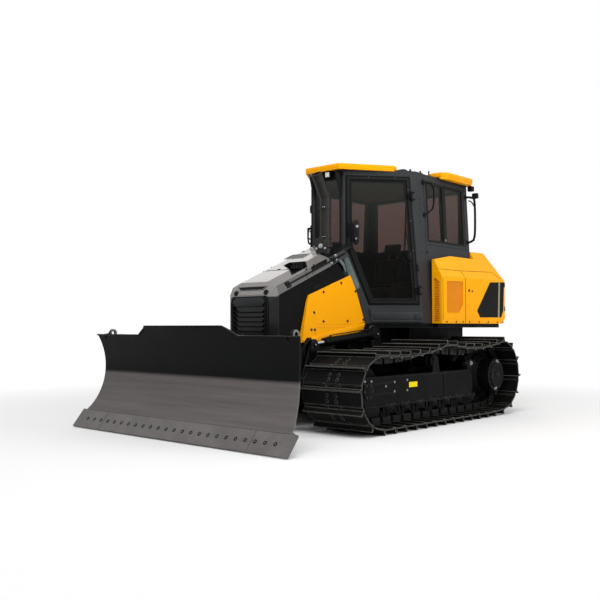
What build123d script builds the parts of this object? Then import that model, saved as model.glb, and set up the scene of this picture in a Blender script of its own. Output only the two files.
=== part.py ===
from build123d import *
import os
from math import acos, atan2, cos, hypot, pi, radians, sin

# Crawler dozer with a six-way blade, in millimetres. The front is -Y, the left side is +X, up is +Z.
# The origin is on the ground, midway between the blade's tip and the drawbar's end.

os.makedirs("parts", exist_ok=True)

# ---------------------------------------------------------------- whole machine
front_reach = 2905.0            # track centre to the cutting edge's tip
rear_reach = 2145.0             # track centre to the drawbar's end
track_y = (front_reach - rear_reach) / 2


def st(station):
    """Y of a station that is measured from the tracks' centre, rearwards positive."""
    return track_y + station


def save(builder, name):
    """Label a finished piece and write its STEP file."""
    builder.part.label = name
    export_step(builder.part, f"parts/{name}.step")


def save_pair(builder, name):
    """Write a left-hand piece and its mirror image on the right."""
    save(builder, f"{name}_left")
    with BuildPart() as right:
        mirror(builder.part, about=Plane.YZ)
    save(right, f"{name}_right")


def save_both(builder, name):
    """Write a left-hand piece with its mirror image, as two solids of one node."""
    with BuildPart() as both:
        add(builder.part)
        mirror(builder.part, about=Plane.YZ)
    save(both, name)


def prism(points, plane, depth, mode=Mode.ADD):
    """Extrude a straight-sided outline from its plane, into the part that is being built."""
    with BuildSketch(plane) as outline:
        with BuildLine():
            Polyline(*points, close=True)
        make_face()
    extrude(outline.sketch, amount=depth, mode=mode)


def side_prism(points, x_low, x_high, mode=Mode.ADD):
    """A plate whose outline is (Y, Z) points and whose thickness runs along X."""
    prism(points, Plane.YZ.offset(x_low), x_high - x_low, mode)


def box_between(low, high, mode=Mode.ADD):
    """A block from its lowest corner to its highest corner."""
    size = [b - a for a, b in zip(low, high)]
    middle = [(a + b) / 2 for a, b in zip(low, high)]
    with Locations(tuple(middle)):
        Box(*size, mode=mode)


def round_bar(start, end, radius, mode=Mode.ADD):
    """A round bar between two points."""
    start, end = Vector(*start), Vector(*end)
    with BuildSketch(Plane(origin=start, z_dir=end - start)) as disc:
        Circle(radius)
    extrude(disc.sketch, amount=(end - start).length, mode=mode)


def bent_tube(points, radius):
    """A round tube through a few points, with a ball at each bend."""
    for start, end in zip(points, points[1:]):
        round_bar(start, end, radius)
    for point in points[1:-1]:
        with Locations(tuple(point)):
            Sphere(radius + 0.5)


# ---------------------------------------------------------------- tracks
gauge = 1960.0                  # between the tracks' centre lines
shoe_width = 760.0
shoe_pitch = 190.0              # nominal; the loop's length sets the true one
grouser_height = 50.0
grouser_root = 26.0
grouser_tip = 14.0
shoe_thickness = 12.0
shoe_gap = 5.0
link_height = 84.0
rail_spacing = 150.0            # between the two rails of the chain
rail_width = 40.0
idler_station = -1235.0
idler_pin_radius = 326.0        # radius of the chain's pins round the idler
sprocket_station = 1280.0
sprocket_height = 494.0
sprocket_pin_radius = 380.0
sprocket_teeth = 25
roller_count = 7
roller_spacing = 280.0
roller_radius = 95.0
carrier_station = 60.0
carrier_radius = 80.0
carrier_height = 704.0
carrier_gap = 26.0              # the links bridge the roller as a chord
flat_past_roller = 110.0        # the ground run stays flat this far behind the last roller
front_sag = 62.0
rear_sag = 74.0

track_x = gauge / 2
belt_height = grouser_height + shoe_thickness + link_height
pin_height = grouser_height + shoe_thickness + link_height / 2
idler_height = pin_height + idler_pin_radius
roller_height = belt_height + roller_radius
last_roller = roller_spacing * (roller_count - 1) / 2


def arc_points(station, height, radius, start, stop, steps=24):
    """Points round a wheel, from one angle to another in degrees, in the (Y, Z) plane."""
    angles = [radians(start + (stop - start) * i / steps) for i in range(steps + 1)]
    return [(station + radius * cos(a), height + radius * sin(a)) for a in angles]


def sag_points(start, stop, depth, steps=16):
    """A slack run of chain between two carried points."""
    shares = [i / steps for i in range(1, steps)]
    return [(start[0] + (stop[0] - start[0]) * s,
             start[1] + (stop[1] - start[1]) * s - 4 * depth * s * (1 - s)) for s in shares]


def pin_points():
    """The chain's pins, evenly spaced round the loop, from the front of the ground run rearwards."""
    flat_end = last_roller + flat_past_roller
    rise = atan2(sprocket_height - sprocket_pin_radius - pin_height, sprocket_station - flat_end)
    rear = arc_points(sprocket_station, sprocket_height, sprocket_pin_radius, -90 + rise * 180 / pi, 84)
    front = arc_points(idler_station, idler_height, idler_pin_radius, 92, 270)
    carried = (carrier_station, carrier_height + carrier_radius + carrier_gap + link_height / 2)
    path = [(idler_station, pin_height), (flat_end, pin_height)]
    path += rear + sag_points(rear[-1], carried, rear_sag) + [carried]
    path += sag_points(carried, front[0], front_sag) + front
    lengths = [hypot(b[0] - a[0], b[1] - a[1]) for a, b in zip(path, path[1:])]
    total = sum(lengths)
    count = round(total / shoe_pitch)
    pins, walked, span = [], 0.0, 0
    for i in range(count):
        goal = total * i / count
        while walked + lengths[span] < goal:
            walked += lengths[span]
            span += 1
        share = (goal - walked) / lengths[span]
        (y0, z0), (y1, z1) = path[span], path[span + 1]
        pins.append((st(y0 + (y1 - y0) * share), z0 + (z1 - z0) * share))
    return pins


pins = pin_points()
pin_count = len(pins)


def outward(a, b):
    """Unit vectors along a shoe and out of the loop, for the chord from pin a to pin b."""
    length = hypot(b[0] - a[0], b[1] - a[1])
    along = ((b[0] - a[0]) / length, (b[1] - a[1]) / length)
    return along, (along[1], -along[0]), length


def ring_line(height):
    """The loop's pins moved out of the loop by a height, along the mean direction at each pin."""
    line = []
    for i, pin in enumerate(pins):
        before = outward(pins[i - 1], pin)[1]
        after = outward(pin, pins[(i + 1) % pin_count])[1]
        mean = (before[0] + after[0], before[1] + after[1])
        scale = height / hypot(*mean)
        line.append((pin[0] + mean[0] * scale, pin[1] + mean[1] * scale))
    return line


def shoe_line():
    """The loop's outer outline: for each shoe, a joint groove, the plate and one grouser."""
    plate_top = link_height / 2 + shoe_thickness
    tip = plate_top + grouser_height
    groove = ring_line(link_height / 2 + 3)
    line = []
    for i, pin in enumerate(pins):
        along, out, length = outward(pin, pins[(i + 1) % pin_count])
        line.append(groove[i])
        # columns: distance along the shoe, height above the pins
        steps = [(shoe_gap, plate_top), (shoe_gap + 8, tip), (shoe_gap + 8 + grouser_tip, tip),
                 (shoe_gap + 8 + grouser_root, plate_top), (length - shoe_gap, plate_top)]
        for run, height in steps:
            line.append((pin[0] + along[0] * run + out[0] * height,
                         pin[1] + along[1] * run + out[1] * height))
    return line


with BuildPart() as track:
    inner_face = ring_line(link_height / 2 - 2)
    with BuildSketch(Plane.YZ.offset(track_x - shoe_width / 2)) as shoes:
        with BuildLine():
            Polyline(*shoe_line(), close=True)
        make_face()
        with BuildLine():
            Polyline(*inner_face, close=True)
        make_face(mode=Mode.SUBTRACT)
    extrude(amount=shoe_width)
    for rail_x in (track_x - rail_spacing / 2, track_x + rail_spacing / 2):
        with BuildSketch(Plane.YZ.offset(rail_x - rail_width / 2)) as rail:
            with BuildLine():
                Polyline(*ring_line(link_height / 2), close=True)
            make_face()
            with BuildLine():
                Polyline(*ring_line(-link_height / 2), close=True)
            make_face(mode=Mode.SUBTRACT)
        extrude(amount=rail_width)
save_pair(track, "track")

# ---------------------------------------------------------------- undercarriage wheels
idler_half_step = shoe_pitch / 2 / idler_pin_radius
idler_radius = idler_pin_radius * cos(idler_half_step * 1.03) - link_height / 2 - 2
wheel_half = rail_spacing / 2 + rail_width / 2 + 10
flange_half = rail_spacing / 2 - rail_width / 2 - 4
flange_rise = 20.0
idler_hub = 75.0
frame_half = 180.0              # half the track frame's width
frame_wall = 30.0
axle_radius = 30.0

with BuildPart() as idler:
    hub_half = frame_half - frame_wall
    # columns: X from the wheel's middle, radius
    rim = [(-hub_half, 0), (-hub_half, idler_hub), (-wheel_half, idler_hub), (-wheel_half, idler_radius),
           (-flange_half, idler_radius), (-flange_half, idler_radius + flange_rise),
           (flange_half, idler_radius + flange_rise), (flange_half, idler_radius),
           (wheel_half, idler_radius), (wheel_half, idler_hub), (hub_half, idler_hub), (hub_half, 0)]
    idler_axis = Axis((track_x, st(idler_station), idler_height), (1, 0, 0))
    with BuildSketch(Plane(origin=idler_axis.position, x_dir=(1, 0, 0), z_dir=(0, -1, 0))):
        with BuildLine():
            Polyline(*rim, close=True)
        make_face()
    revolve(axis=idler_axis)
save_both(idler, "idlers")

roller_flange = 17.0
with BuildPart() as rollers:
    hub_half = frame_half - frame_wall
    outer = rail_spacing / 2 + rail_width / 2 + 4
    edge = outer + 16
    places = [(last_roller - roller_spacing * i, roller_height, roller_radius) for i in range(roller_count)]
    places.append((carrier_station, carrier_height, carrier_radius))
    for station, height, radius in places:
        half = [(hub_half, 0), (hub_half, axle_radius), (edge, axle_radius), (edge, radius + roller_flange),
                (outer, radius + roller_flange), (outer, radius)]
        outline = [(-x, r) for x, r in half] + [(x, r) for x, r in reversed(half)]
        axis = Axis((track_x, st(station), height), (1, 0, 0))
        with BuildSketch(Plane(origin=axis.position, x_dir=(1, 0, 0), z_dir=(0, -1, 0))):
            with BuildLine():
                Polyline(*outline, close=True)
            make_face()
        revolve(axis=axis)
save_both(rollers, "track_rollers")

sprocket_root = 318.0
sprocket_tip = 392.0
sprocket_width = 60.0
drive_case_radius = 235.0
drive_cover_radius = 193.0
drive_cover_x = 1285.0
hull_half = 360.0
axle_case_radius = 150.0

with BuildPart() as sprocket:
    tooth = 2 * pi / sprocket_teeth
    line = []
    for i in range(sprocket_teeth):
        for share, radius in ((-0.42, sprocket_root), (-0.16, sprocket_tip), (0.16, sprocket_tip),
                              (0.42, sprocket_root)):
            angle = tooth * (i + share)
            line.append((radius * cos(angle), radius * sin(angle)))
    centre = (track_x - sprocket_width / 2, st(sprocket_station), sprocket_height)
    prism(line, Plane(origin=centre, x_dir=(0, 1, 0), z_dir=(1, 0, 0)), sprocket_width)
    round_bar(centre, (centre[0] + sprocket_width, centre[1], centre[2]), drive_cover_radius,
              Mode.SUBTRACT)
save_both(sprocket, "sprockets")

with BuildPart() as final_drive:
    cover_start = track_x + sprocket_width / 2
    # columns: X, radius
    case = [(hull_half, 0), (hull_half, axle_case_radius), (track_x - 260, axle_case_radius),
            (track_x - 200, drive_case_radius), (track_x - sprocket_width / 2, drive_case_radius),
            (track_x - sprocket_width / 2, drive_cover_radius), (cover_start, drive_cover_radius),
            (cover_start, drive_case_radius + 20), (cover_start + 40, drive_case_radius + 20),
            (cover_start + 90, drive_cover_radius + 12), (drive_cover_x - 25, drive_cover_radius),
            (drive_cover_x - 25, drive_cover_radius - 30), (drive_cover_x, drive_cover_radius - 45),
            (drive_cover_x, 0)]
    drive_axis = Axis((0, st(sprocket_station), sprocket_height), (1, 0, 0))
    with BuildSketch(Plane(origin=drive_axis.position, x_dir=(1, 0, 0), z_dir=(0, -1, 0))):
        with BuildLine():
            Polyline(*case, close=True)
        make_face()
    revolve(axis=drive_axis)
save_both(final_drive, "final_drives")

# ---------------------------------------------------------------- track frames
frame_bottom = 265.0
frame_core_bottom = 366.0
frame_top = 572.0
frame_front = -900.0
frame_rear = 866.0
yoke_front = -1330.0
cross_shaft_station = 330.0
cross_shaft_height = 430.0
cross_shaft_radius = 85.0
roller_bracket = 90.0

with BuildPart() as track_frame:
    inner_x, outer_x = track_x - frame_half, track_x + frame_half
    core = [(st(frame_front), frame_core_bottom), (st(frame_rear), frame_core_bottom),
            (st(frame_rear), frame_top - 90), (st(frame_rear - 110), frame_top),
            (st(frame_front), frame_top)]
    side_prism(core, inner_x, outer_x)
    cheek = [(st(frame_front), frame_bottom), (st(frame_rear), frame_bottom)] + core[2:]
    side_prism(cheek, inner_x, inner_x + frame_wall)
    side_prism(cheek, outer_x - frame_wall, outer_x)
    yoke = [(st(yoke_front), idler_height - 90), (st(yoke_front + 60), frame_bottom + 10),
            (st(frame_front), frame_bottom), (st(frame_front), frame_top), (st(yoke_front + 90), frame_top),
            (st(yoke_front), idler_height + 80)]
    side_prism(yoke, inner_x, inner_x + frame_wall)
    side_prism(yoke, outer_x - frame_wall, outer_x)
    for i in range(roller_count):
        station = last_roller - roller_spacing * i
        foot = [(st(station - roller_bracket), frame_bottom),
                (st(station - axle_radius - 14), roller_height - 42),
                (st(station + axle_radius + 14), roller_height - 42),
                (st(station + roller_bracket), frame_bottom)]
        side_prism(foot, inner_x, inner_x + frame_wall)
        side_prism(foot, outer_x - frame_wall, outer_x)
    post = [(st(carrier_station - 70), frame_top), (st(carrier_station + 70), frame_top),
            (st(carrier_station + 38), carrier_height + 38), (st(carrier_station - 38), carrier_height + 38)]
    side_prism(post, inner_x, inner_x + frame_wall)
    side_prism(post, outer_x - frame_wall, outer_x)
    round_bar((hull_half, st(cross_shaft_station), cross_shaft_height),
              (inner_x, st(cross_shaft_station), cross_shaft_height), cross_shaft_radius)
save_both(track_frame, "track_frames")

# ---------------------------------------------------------------- blade linkage stations
lift_pivot_station = -100.0     # the C-frame's trunnions on the hull
lift_pivot_height = 400.0
arm_inner = 430.0
arm_outer = 550.0
arm_bottom = 285.0
arm_top = 430.0
trunnion_radius = 45.0
pin_clearance = 0.4
lift_x = 500.0
lift_base_station = -247.0
lift_base_height = 1007.0
lift_eye_station = -1370.0
lift_eye_height = 900.0
angle_axis_station = 725.0 - front_reach    # the vertical pin that the blade swings on
arm_bend_station = 1305.0 - front_reach     # where the push arms turn in to the nose
angle_base = (385.0, arm_bend_station)      # X and station of the angle cylinders' rear pins
angle_eye = (400.0, 593.0 - front_reach)
angle_cylinder_height = 500.0
tilt_height = 420.0
tilt_cylinder_height = 800.0

# ---------------------------------------------------------------- hull
belly_height = 330.0
hull_top = 800.0
deck_bottom = 1080.0
deck_top = 1130.0
hull_front = -1480.0
hull_rear = 1620.0
tower_half = 550.0
tower_front = 430.0
tower_rear = 1705.0
tank_low = 560.0                # underside of the tanks between the tracks
tank_rear = 1110.0
tank_step = 680.0               # and further back, over the final drives' axles
nose_block_half = 270.0
nose_half = 280.0
lift_ear = 16.0
lift_eye_half = 30.0

with BuildPart() as main_frame:
    hull = [(st(hull_front), 560), (st(hull_front + 150), belly_height + 60), (st(-1000), belly_height),
            (st(hull_rear - 80), belly_height), (st(hull_rear), belly_height + 90),
            (st(hull_rear), hull_top), (st(hull_front), hull_top)]
    side_prism(hull, -hull_half + 60, hull_half - 60)
    wide = [(st(-1150), belly_height + 10), (st(hull_rear - 90), belly_height + 10),
            (st(hull_rear - 90), hull_top - 10), (st(-1150), hull_top - 10)]
    side_prism(wide, -hull_half, hull_half)
    box_between((-tower_half, st(tower_front), tank_step), (tower_half, st(tower_rear), deck_bottom))
    box_between((-tower_half, st(tower_front), tank_low), (tower_half, st(tank_rear), tank_step + 10))
    box_between((-hull_half + 30, st(-500), hull_top - 20), (hull_half - 30, st(tower_front), deck_bottom))
    for side in (-1, 1):
        trunnion = (side * hull_half, st(lift_pivot_station), lift_pivot_height)
        round_bar(trunnion, (side * (arm_inner - 3), trunnion[1], trunnion[2]), 95)
        round_bar(trunnion, (side * (arm_outer + 20), trunnion[1], trunnion[2]), trunnion_radius)
        round_bar((side * (arm_outer + 3), trunnion[1], trunnion[2]),
                  (side * (arm_outer + 20), trunnion[1], trunnion[2]), 70)
        low_x = side * (hull_half - 40)
        ear_outer = side * (lift_x + lift_eye_half + 2 + lift_ear)
        box_between((min(low_x, ear_outer), st(lift_base_station - 80), 840),
                    (max(low_x, ear_outer), st(lift_base_station + 80), 930))
        ear = [(st(lift_base_station - 44), 900), (st(lift_base_station + 80), 900),
               (st(lift_base_station + 40), lift_base_height + 40),
               (st(lift_base_station - 40), lift_base_height + 40)]
        for ear_low in (lift_x - lift_eye_half - 2 - lift_ear, lift_x + lift_eye_half + 2):
            low, high = sorted((side * ear_low, side * (ear_low + lift_ear)))
            side_prism(ear, low, high)
        round_bar((side * (lift_x - 55), st(lift_base_station), lift_base_height),
                  (side * (lift_x + 55), st(lift_base_station), lift_base_height), 22)
save(main_frame, "main_frame")

drawbar_top = 470.0
drawbar_bottom = 390.0
drawbar_half = 90.0
drawbar_tip_radius = 75.0
tow_pin_radius = 24.0
with BuildPart() as drawbar:
    box_between((-160, st(hull_rear), 345), (160, st(hull_rear + 45), 600))
    with BuildSketch(Plane.XY.offset(drawbar_bottom)) as tongue:
        with BuildLine():
            Polyline((-drawbar_half, st(hull_rear + 40)), (drawbar_half, st(hull_rear + 40)),
                     (drawbar_tip_radius, st(rear_reach - drawbar_tip_radius)),
                     (-drawbar_tip_radius, st(rear_reach - drawbar_tip_radius)), close=True)
        make_face()
        with Locations((0, st(rear_reach - drawbar_tip_radius))):
            Circle(drawbar_tip_radius)
            Circle(tow_pin_radius, mode=Mode.SUBTRACT)
    extrude(amount=drawbar_top - drawbar_bottom)
save(drawbar, "drawbar")

engine_half = 250.0
engine_front = -1380.0
engine_rear = -640.0
engine_top = 1330.0
with BuildPart() as engine_block:
    box_between((-engine_half, st(engine_front), hull_top), (engine_half, st(engine_rear), engine_top))
save(engine_block, "engine_block")

# ---------------------------------------------------------------- hydraulic cylinders
eye_radius = 38.0
neck_length = 66.0
neck_height = 52.0
base_pin_radius = 22.0


def hydraulic_cylinder(name, base, tip, pin_dir, barrel_length, barrel_radius, rod_radius, rod_length):
    """A barrel that turns on its base pin, and a rod that slides out of it to its eye."""
    base, tip = Vector(*base), Vector(*tip)
    along = (tip - base).normalized()
    pin_dir = Vector(*pin_dir)
    with BuildPart() as barrel:
        with BuildSketch(Plane(origin=base - pin_dir * lift_eye_half, z_dir=pin_dir)) as eye:
            Circle(eye_radius)
        extrude(eye.sketch, amount=2 * lift_eye_half)
        with BuildSketch(Plane(origin=base, x_dir=pin_dir, z_dir=along)) as neck:
            Rectangle(2 * lift_eye_half, neck_height)
        extrude(neck.sketch, amount=neck_length)
        with BuildSketch(Plane(origin=base - pin_dir * lift_eye_half, z_dir=pin_dir)) as pin_hole:
            Circle(base_pin_radius + pin_clearance)
        extrude(pin_hole.sketch, amount=2 * lift_eye_half, mode=Mode.SUBTRACT)
        with BuildSketch(Plane(origin=base + along * neck_length, z_dir=along)) as tube:
            Circle(barrel_radius)
        extrude(tube.sketch, amount=barrel_length)
        with BuildSketch(Plane(origin=base + along * (neck_length + 14), z_dir=along)) as bore:
            Circle(rod_radius + pin_clearance)
        extrude(bore.sketch, amount=barrel_length, mode=Mode.SUBTRACT)
    save(barrel, f"{name}_barrel")
    with BuildPart() as rod:
        with BuildSketch(Plane(origin=tip - pin_dir * (lift_eye_half - 2), z_dir=pin_dir)) as eye:
            Circle(eye_radius)
        extrude(eye.sketch, amount=2 * (lift_eye_half - 2))
        with BuildSketch(Plane(origin=tip - along * rod_length, z_dir=along)) as bar:
            Circle(rod_radius)
        extrude(bar.sketch, amount=rod_length)
    save(rod, f"{name}_rod")


sides = (("left", 1), ("right", -1))
for word, side in sides:
    hydraulic_cylinder(f"lift_{word}", (side * lift_x, st(lift_base_station), lift_base_height),
                       (side * lift_x, st(lift_eye_station), lift_eye_height), (1, 0, 0),
                       barrel_length=830, barrel_radius=48, rod_radius=26, rod_length=520)
    hydraulic_cylinder(f"angle_{word}", (side * angle_base[0], st(angle_base[1]), angle_cylinder_height),
                       (side * angle_eye[0], st(angle_eye[1]), angle_cylinder_height), (0, 0, 1),
                       barrel_length=395, barrel_radius=42, rod_radius=22, rod_length=452)

# ---------------------------------------------------------------- C-frame
nose_radius = 88.0
swing_pin_radius = 38.0
with BuildPart() as c_frame:
    # columns: X, station, down the left side from the trunnion to the nose
    arm_left = [(arm_outer, lift_pivot_station), (arm_outer, arm_bend_station),
                (nose_radius + 82, angle_axis_station + 80), (nose_radius, angle_axis_station)]
    inner_left = [(arm_inner, lift_pivot_station), (arm_inner, arm_bend_station + 40),
                  (nose_radius, angle_axis_station + 220)]
    left = [(x, st(y)) for x, y in arm_left]
    inner = [(x, st(y)) for x, y in inner_left]
    arm = left + [(-x, y) for x, y in reversed(left)] + [(-x, y) for x, y in inner] + list(reversed(inner))
    prism(arm, Plane.XY.offset(arm_bottom), arm_top - arm_bottom)
    with BuildSketch(Plane.XY.offset(arm_bottom)):
        with Locations((0, st(angle_axis_station))):
            Circle(nose_radius)
    extrude(amount=arm_top - arm_bottom)
    # the fork for the swing pin's boss
    box_between((-400, st(angle_axis_station - 200), arm_bottom + 32),
                (400, st(angle_axis_station + nose_radius + 8), arm_top - 32), Mode.SUBTRACT)
    round_bar((0, st(angle_axis_station), arm_bottom), (0, st(angle_axis_station), arm_top),
              swing_pin_radius)
    for side in (-1, 1):
        low, high = sorted((side * arm_inner, side * arm_outer))
        round_bar((low, st(lift_pivot_station), lift_pivot_height),
                  (high, st(lift_pivot_station), lift_pivot_height), 90)
        round_bar((low, st(lift_pivot_station), lift_pivot_height),
                  (high, st(lift_pivot_station), lift_pivot_height), trunnion_radius + pin_clearance,
                  Mode.SUBTRACT)
        tower = [(st(arm_bend_station), arm_top - 20), (st(lift_eye_station + 190), arm_top - 20),
                 (st(lift_eye_station + 48), lift_eye_height - 10),
                 (st(lift_eye_station + 30), lift_eye_height + 45),
                 (st(lift_eye_station - 30), lift_eye_height + 45),
                 (st(lift_eye_station - 48), lift_eye_height - 10)]
        for ear_low in (lift_x - lift_eye_half - lift_ear, lift_x + lift_eye_half):
            low, high = sorted((side * ear_low, side * (ear_low + lift_ear)))
            side_prism(tower, low, high)
        low, high = sorted((side * (angle_base[0] - 45), side * arm_outer))
        eye_low = angle_cylinder_height - lift_eye_half - 2
        eye_high = angle_cylinder_height + lift_eye_half + 2
        box_between((low, st(angle_base[1] - 45), arm_top - 20), (high, st(angle_base[1] + 90), eye_low))
        box_between((low, st(angle_base[1] + 60), arm_top - 20),
                    (high, st(angle_base[1] + 90), eye_high + 22))
        box_between((low, st(angle_base[1] - 45), eye_high), (high, st(angle_base[1] + 90), eye_high + 22))
        round_bar((side * angle_base[0], st(angle_base[1]), eye_low),
                  (side * angle_base[0], st(angle_base[1]), eye_high), 22)
save(c_frame, "c_frame")

# ---------------------------------------------------------------- swing yoke
yoke_back = 630.0 - front_reach
yoke_face = 510.0 - front_reach
yoke_web = 18.0
tilt_base_x = -120.0
tilt_eye_x = 470.0
tilt_station = 587.0 - front_reach
tower_plate = 36.0
with BuildPart() as blade_yoke:
    with BuildSketch(Plane.XY.offset(arm_bottom + 35)):
        with Locations((0, st(angle_axis_station))):
            Circle(nose_radius - 12)
            Circle(swing_pin_radius + pin_clearance, mode=Mode.SUBTRACT)
    extrude(amount=arm_top - arm_bottom - 70)
    box_between((-nose_radius + 12, st(yoke_back - 20), arm_bottom + 35),
                (nose_radius - 12, st(angle_axis_station - swing_pin_radius - 12), arm_top - 35))
    wing = angle_eye[0] + 55
    box_between((-wing, st(yoke_face), arm_bottom + 20), (wing, st(yoke_back), arm_top + 20))
    for side in (-1, 1):
        low, high = sorted((side * (angle_eye[0] - 50), side * wing))
        for floor in (arm_top + 18, angle_cylinder_height + lift_eye_half + 2):
            box_between((low, st(yoke_face), floor), (high, st(yoke_back), floor + 20))
        box_between((low, st(yoke_face), arm_top),
                    (high, st(yoke_face + yoke_web), angle_cylinder_height + 40))
    tower = [(-wing + 120, arm_top), (wing - 120, arm_top), (70, tilt_cylinder_height + 30),
             (tilt_base_x - 50, tilt_cylinder_height + 50)]
    prism([(x, z) for x, z in tower], Plane.XZ.offset(-st(yoke_face + tower_plate)), tower_plate)
    round_bar((tilt_base_x, st(yoke_face + 5), tilt_cylinder_height),
              (tilt_base_x, st(tilt_station + lift_eye_half + 12), tilt_cylinder_height), 22)
save(blade_yoke, "blade_yoke")

# ---------------------------------------------------------------- blade
blade_half = 1524.0
edge_half = 1585.0
edge_tip_height = 18.0
# columns: station, height
edge_top = (138.0 - front_reach, 190.0)
mould_deep = (359.0 - front_reach, 600.0)
mould_top = (181.0 - front_reach, 1102.0)
wing_top = 1010.0
mould_thickness = 22.0
blade_back = 480.0 - front_reach
centre_half_top = 577.0
centre_half_base = 746.0

eye_x = 1360.0
eye_thickness = 26.0
eye_hole = 28.0
eye_outer = 58.0
eye_centre = (293.0 - front_reach, 1040.0)

edge_length = hypot(front_reach + edge_top[0], edge_top[1] - edge_tip_height)
edge_dir = ((-front_reach - edge_top[0]) / edge_length, (edge_tip_height - edge_top[1]) / edge_length)
edge_back = (-edge_dir[1], edge_dir[0])


def behind_edge(run, depth):
    """A point a distance down the cutting edge's face and a depth behind it."""
    return (st(edge_top[0] + edge_dir[0] * run + edge_back[0] * depth),
            edge_top[1] + edge_dir[1] * run + edge_back[1] * depth)


edge_thickness = 22.0
with BuildPart() as cutting_edge:
    side_prism([behind_edge(0, 0), behind_edge(edge_length, 0), behind_edge(edge_length, edge_thickness),
                behind_edge(0, edge_thickness)], -edge_half, edge_half)
save(cutting_edge, "cutting_edge")

box_half = 1180.0               # half width of the deep ribs and the beams behind the moldboard
with BuildPart() as moldboard:
    front = [(st(y), z) for y, z in (edge_top, mould_deep, mould_top)]
    back = [(y + mould_thickness, z) for y, z in front]
    lip = [behind_edge(130, edge_thickness), behind_edge(130, edge_thickness + 25)]
    with BuildSketch(Plane.YZ.offset(-blade_half)):
        with BuildLine():
            ThreePointArc(*front)
            Line(front[2], back[2])
            ThreePointArc(*reversed(back))
            Line(back[0], front[0])
        make_face()
    extrude(amount=2 * blade_half)
    side_prism([front[0], behind_edge(0, edge_thickness), lip[0], lip[1],
                behind_edge(-25, edge_thickness + 30), (back[0][0] + 2, back[0][1] + 25)],
               -blade_half, blade_half)
    for rib_x in (-box_half, -760, -400, -130, 110, 460, 740, box_half - 20):
        with BuildSketch(Plane.YZ.offset(rib_x)):
            with BuildLine():
                ThreePointArc(*back)
                Polyline(back[2], (st(blade_back - 120), 1000), (st(blade_back), 860), (st(blade_back), 260),
                         (st(blade_back - 120), 110), lip[1],
                         behind_edge(-20, edge_thickness + 25), back[0])
            make_face()
        extrude(amount=20)
    side_prism([(st(blade_back - 30), 280), (st(blade_back), 280), (st(blade_back), 560),
                (st(blade_back - 30), 560)], -box_half, box_half)
    side_prism([(st(blade_back - 110), 700), (st(blade_back), 700), (st(blade_back), 730),
                (st(blade_back - 110), 730)], -box_half, box_half)
    top_edge = [(-blade_half - 1, 1200), (-blade_half - 1, wing_top), (-centre_half_base, wing_top),
                (-centre_half_top, mould_top[1]), (centre_half_top, mould_top[1]),
                (centre_half_base, wing_top), (blade_half + 1, wing_top), (blade_half + 1, 1200)]
    prism(top_edge, Plane.XZ.offset(-st(blade_back + 100)), 600, Mode.SUBTRACT)
    round_bar((0, st(blade_back - 20), tilt_height), (0, st(yoke_face - 6), tilt_height), 95)
    box_between((tilt_eye_x - 50, st(blade_back - 40), tilt_cylinder_height - 60),
                (tilt_eye_x + 50, st(tilt_station - lift_eye_half - 2), tilt_cylinder_height + 60))
    for side in (-1, 1):
        with BuildSketch(Plane.YZ.offset(side * eye_x - eye_thickness / 2)) as lug:
            with BuildLine():
                Polyline((st(eye_centre[0] - eye_outer), eye_centre[1]),
                         (st(eye_centre[0] - eye_outer), 950), (st(eye_centre[0] + 40), 900),
                         (st(eye_centre[0] + eye_outer), eye_centre[1]), close=True)
            make_face()
            with Locations((st(eye_centre[0]), eye_centre[1])):
                Circle(eye_outer)
                Circle(eye_hole, mode=Mode.SUBTRACT)
        extrude(lug.sketch, amount=eye_thickness)
save(moldboard, "moldboard")

hydraulic_cylinder("tilt", (tilt_base_x, st(tilt_station), tilt_cylinder_height),
                   (tilt_eye_x, st(tilt_station), tilt_cylinder_height), (0, 1, 0),
                   barrel_length=330, barrel_radius=40, rod_radius=20, rod_length=300)

# ---------------------------------------------------------------- cab
cab_front = -474.0
cab_front_half = 240.0
cab_corner = 252.0              # station of the side posts, at the floor
cab_half = 860.0                # at the floor; the sides lean in above it
cab_lean = 0.05                 # per unit of height
cab_rear = 1440.0
cab_floor = 1135.0
cab_top = 2900.0
cab_wall = 60.0
sill_height = 2130.0
rail_height = 2850.0
floor_thickness = 40.0

door_run = hypot(cab_half - cab_front_half, cab_corner - cab_front)
door_along = ((cab_half - cab_front_half) / door_run, (cab_corner - cab_front) / door_run)
door_plane = Plane(origin=(cab_front_half, st(cab_front), 0), x_dir=(*door_along, 0),
                   z_dir=(door_along[1], -door_along[0], 0))
door_front = 26.0
door_post = 19.0                # from the door opening to the cab's corner
door_knee = 300.0
door_bottom = 1345.0
door_elbow = 2052.0
door_top = 2872.0
door_gap = 7.0
door_leaf = 44.0
door_proud = 8.0
door_rim = 62.0
hinge_out = 24.0
hinge_pin = 9.0
hinge_disc = hinge_pin + 5
hinge_heights = (1520.0, 2640.0)


def cab_side(height):
    """Half the cab's width at a height."""
    return cab_half - cab_lean * (height - cab_floor)


def door_edge(height):
    """Where the door opening ends at the side post, measured along the door's plane."""
    return (cab_side(height) - cab_front_half) / door_along[0] - door_post


def moved_in(points, inset):
    """A convex outline, given counter-clockwise, with each of its edges moved inwards."""
    lines = []
    for (ax, ay), (bx, by) in zip(points, points[1:] + points[:1]):
        length = hypot(bx - ax, by - ay)
        nx, ny = (ay - by) / length, (bx - ax) / length
        lines.append((nx, ny, nx * ax + ny * ay + inset))
    corners = []
    for (a, b, c), (d, e, f) in zip(lines[-1:] + lines[:-1], lines):
        corners.append(((c * e - b * f) / (a * e - b * d), (a * f - c * d) / (a * e - b * d)))
    return corners


def door_outline(inset):
    """The door's five-sided outline in its own plane, moved inwards by an inset."""
    return moved_in([(door_front, door_elbow), (door_knee, door_bottom),
                     (door_edge(door_bottom), door_bottom), (door_edge(door_top), door_top),
                     (door_front, door_top)], inset)


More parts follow.
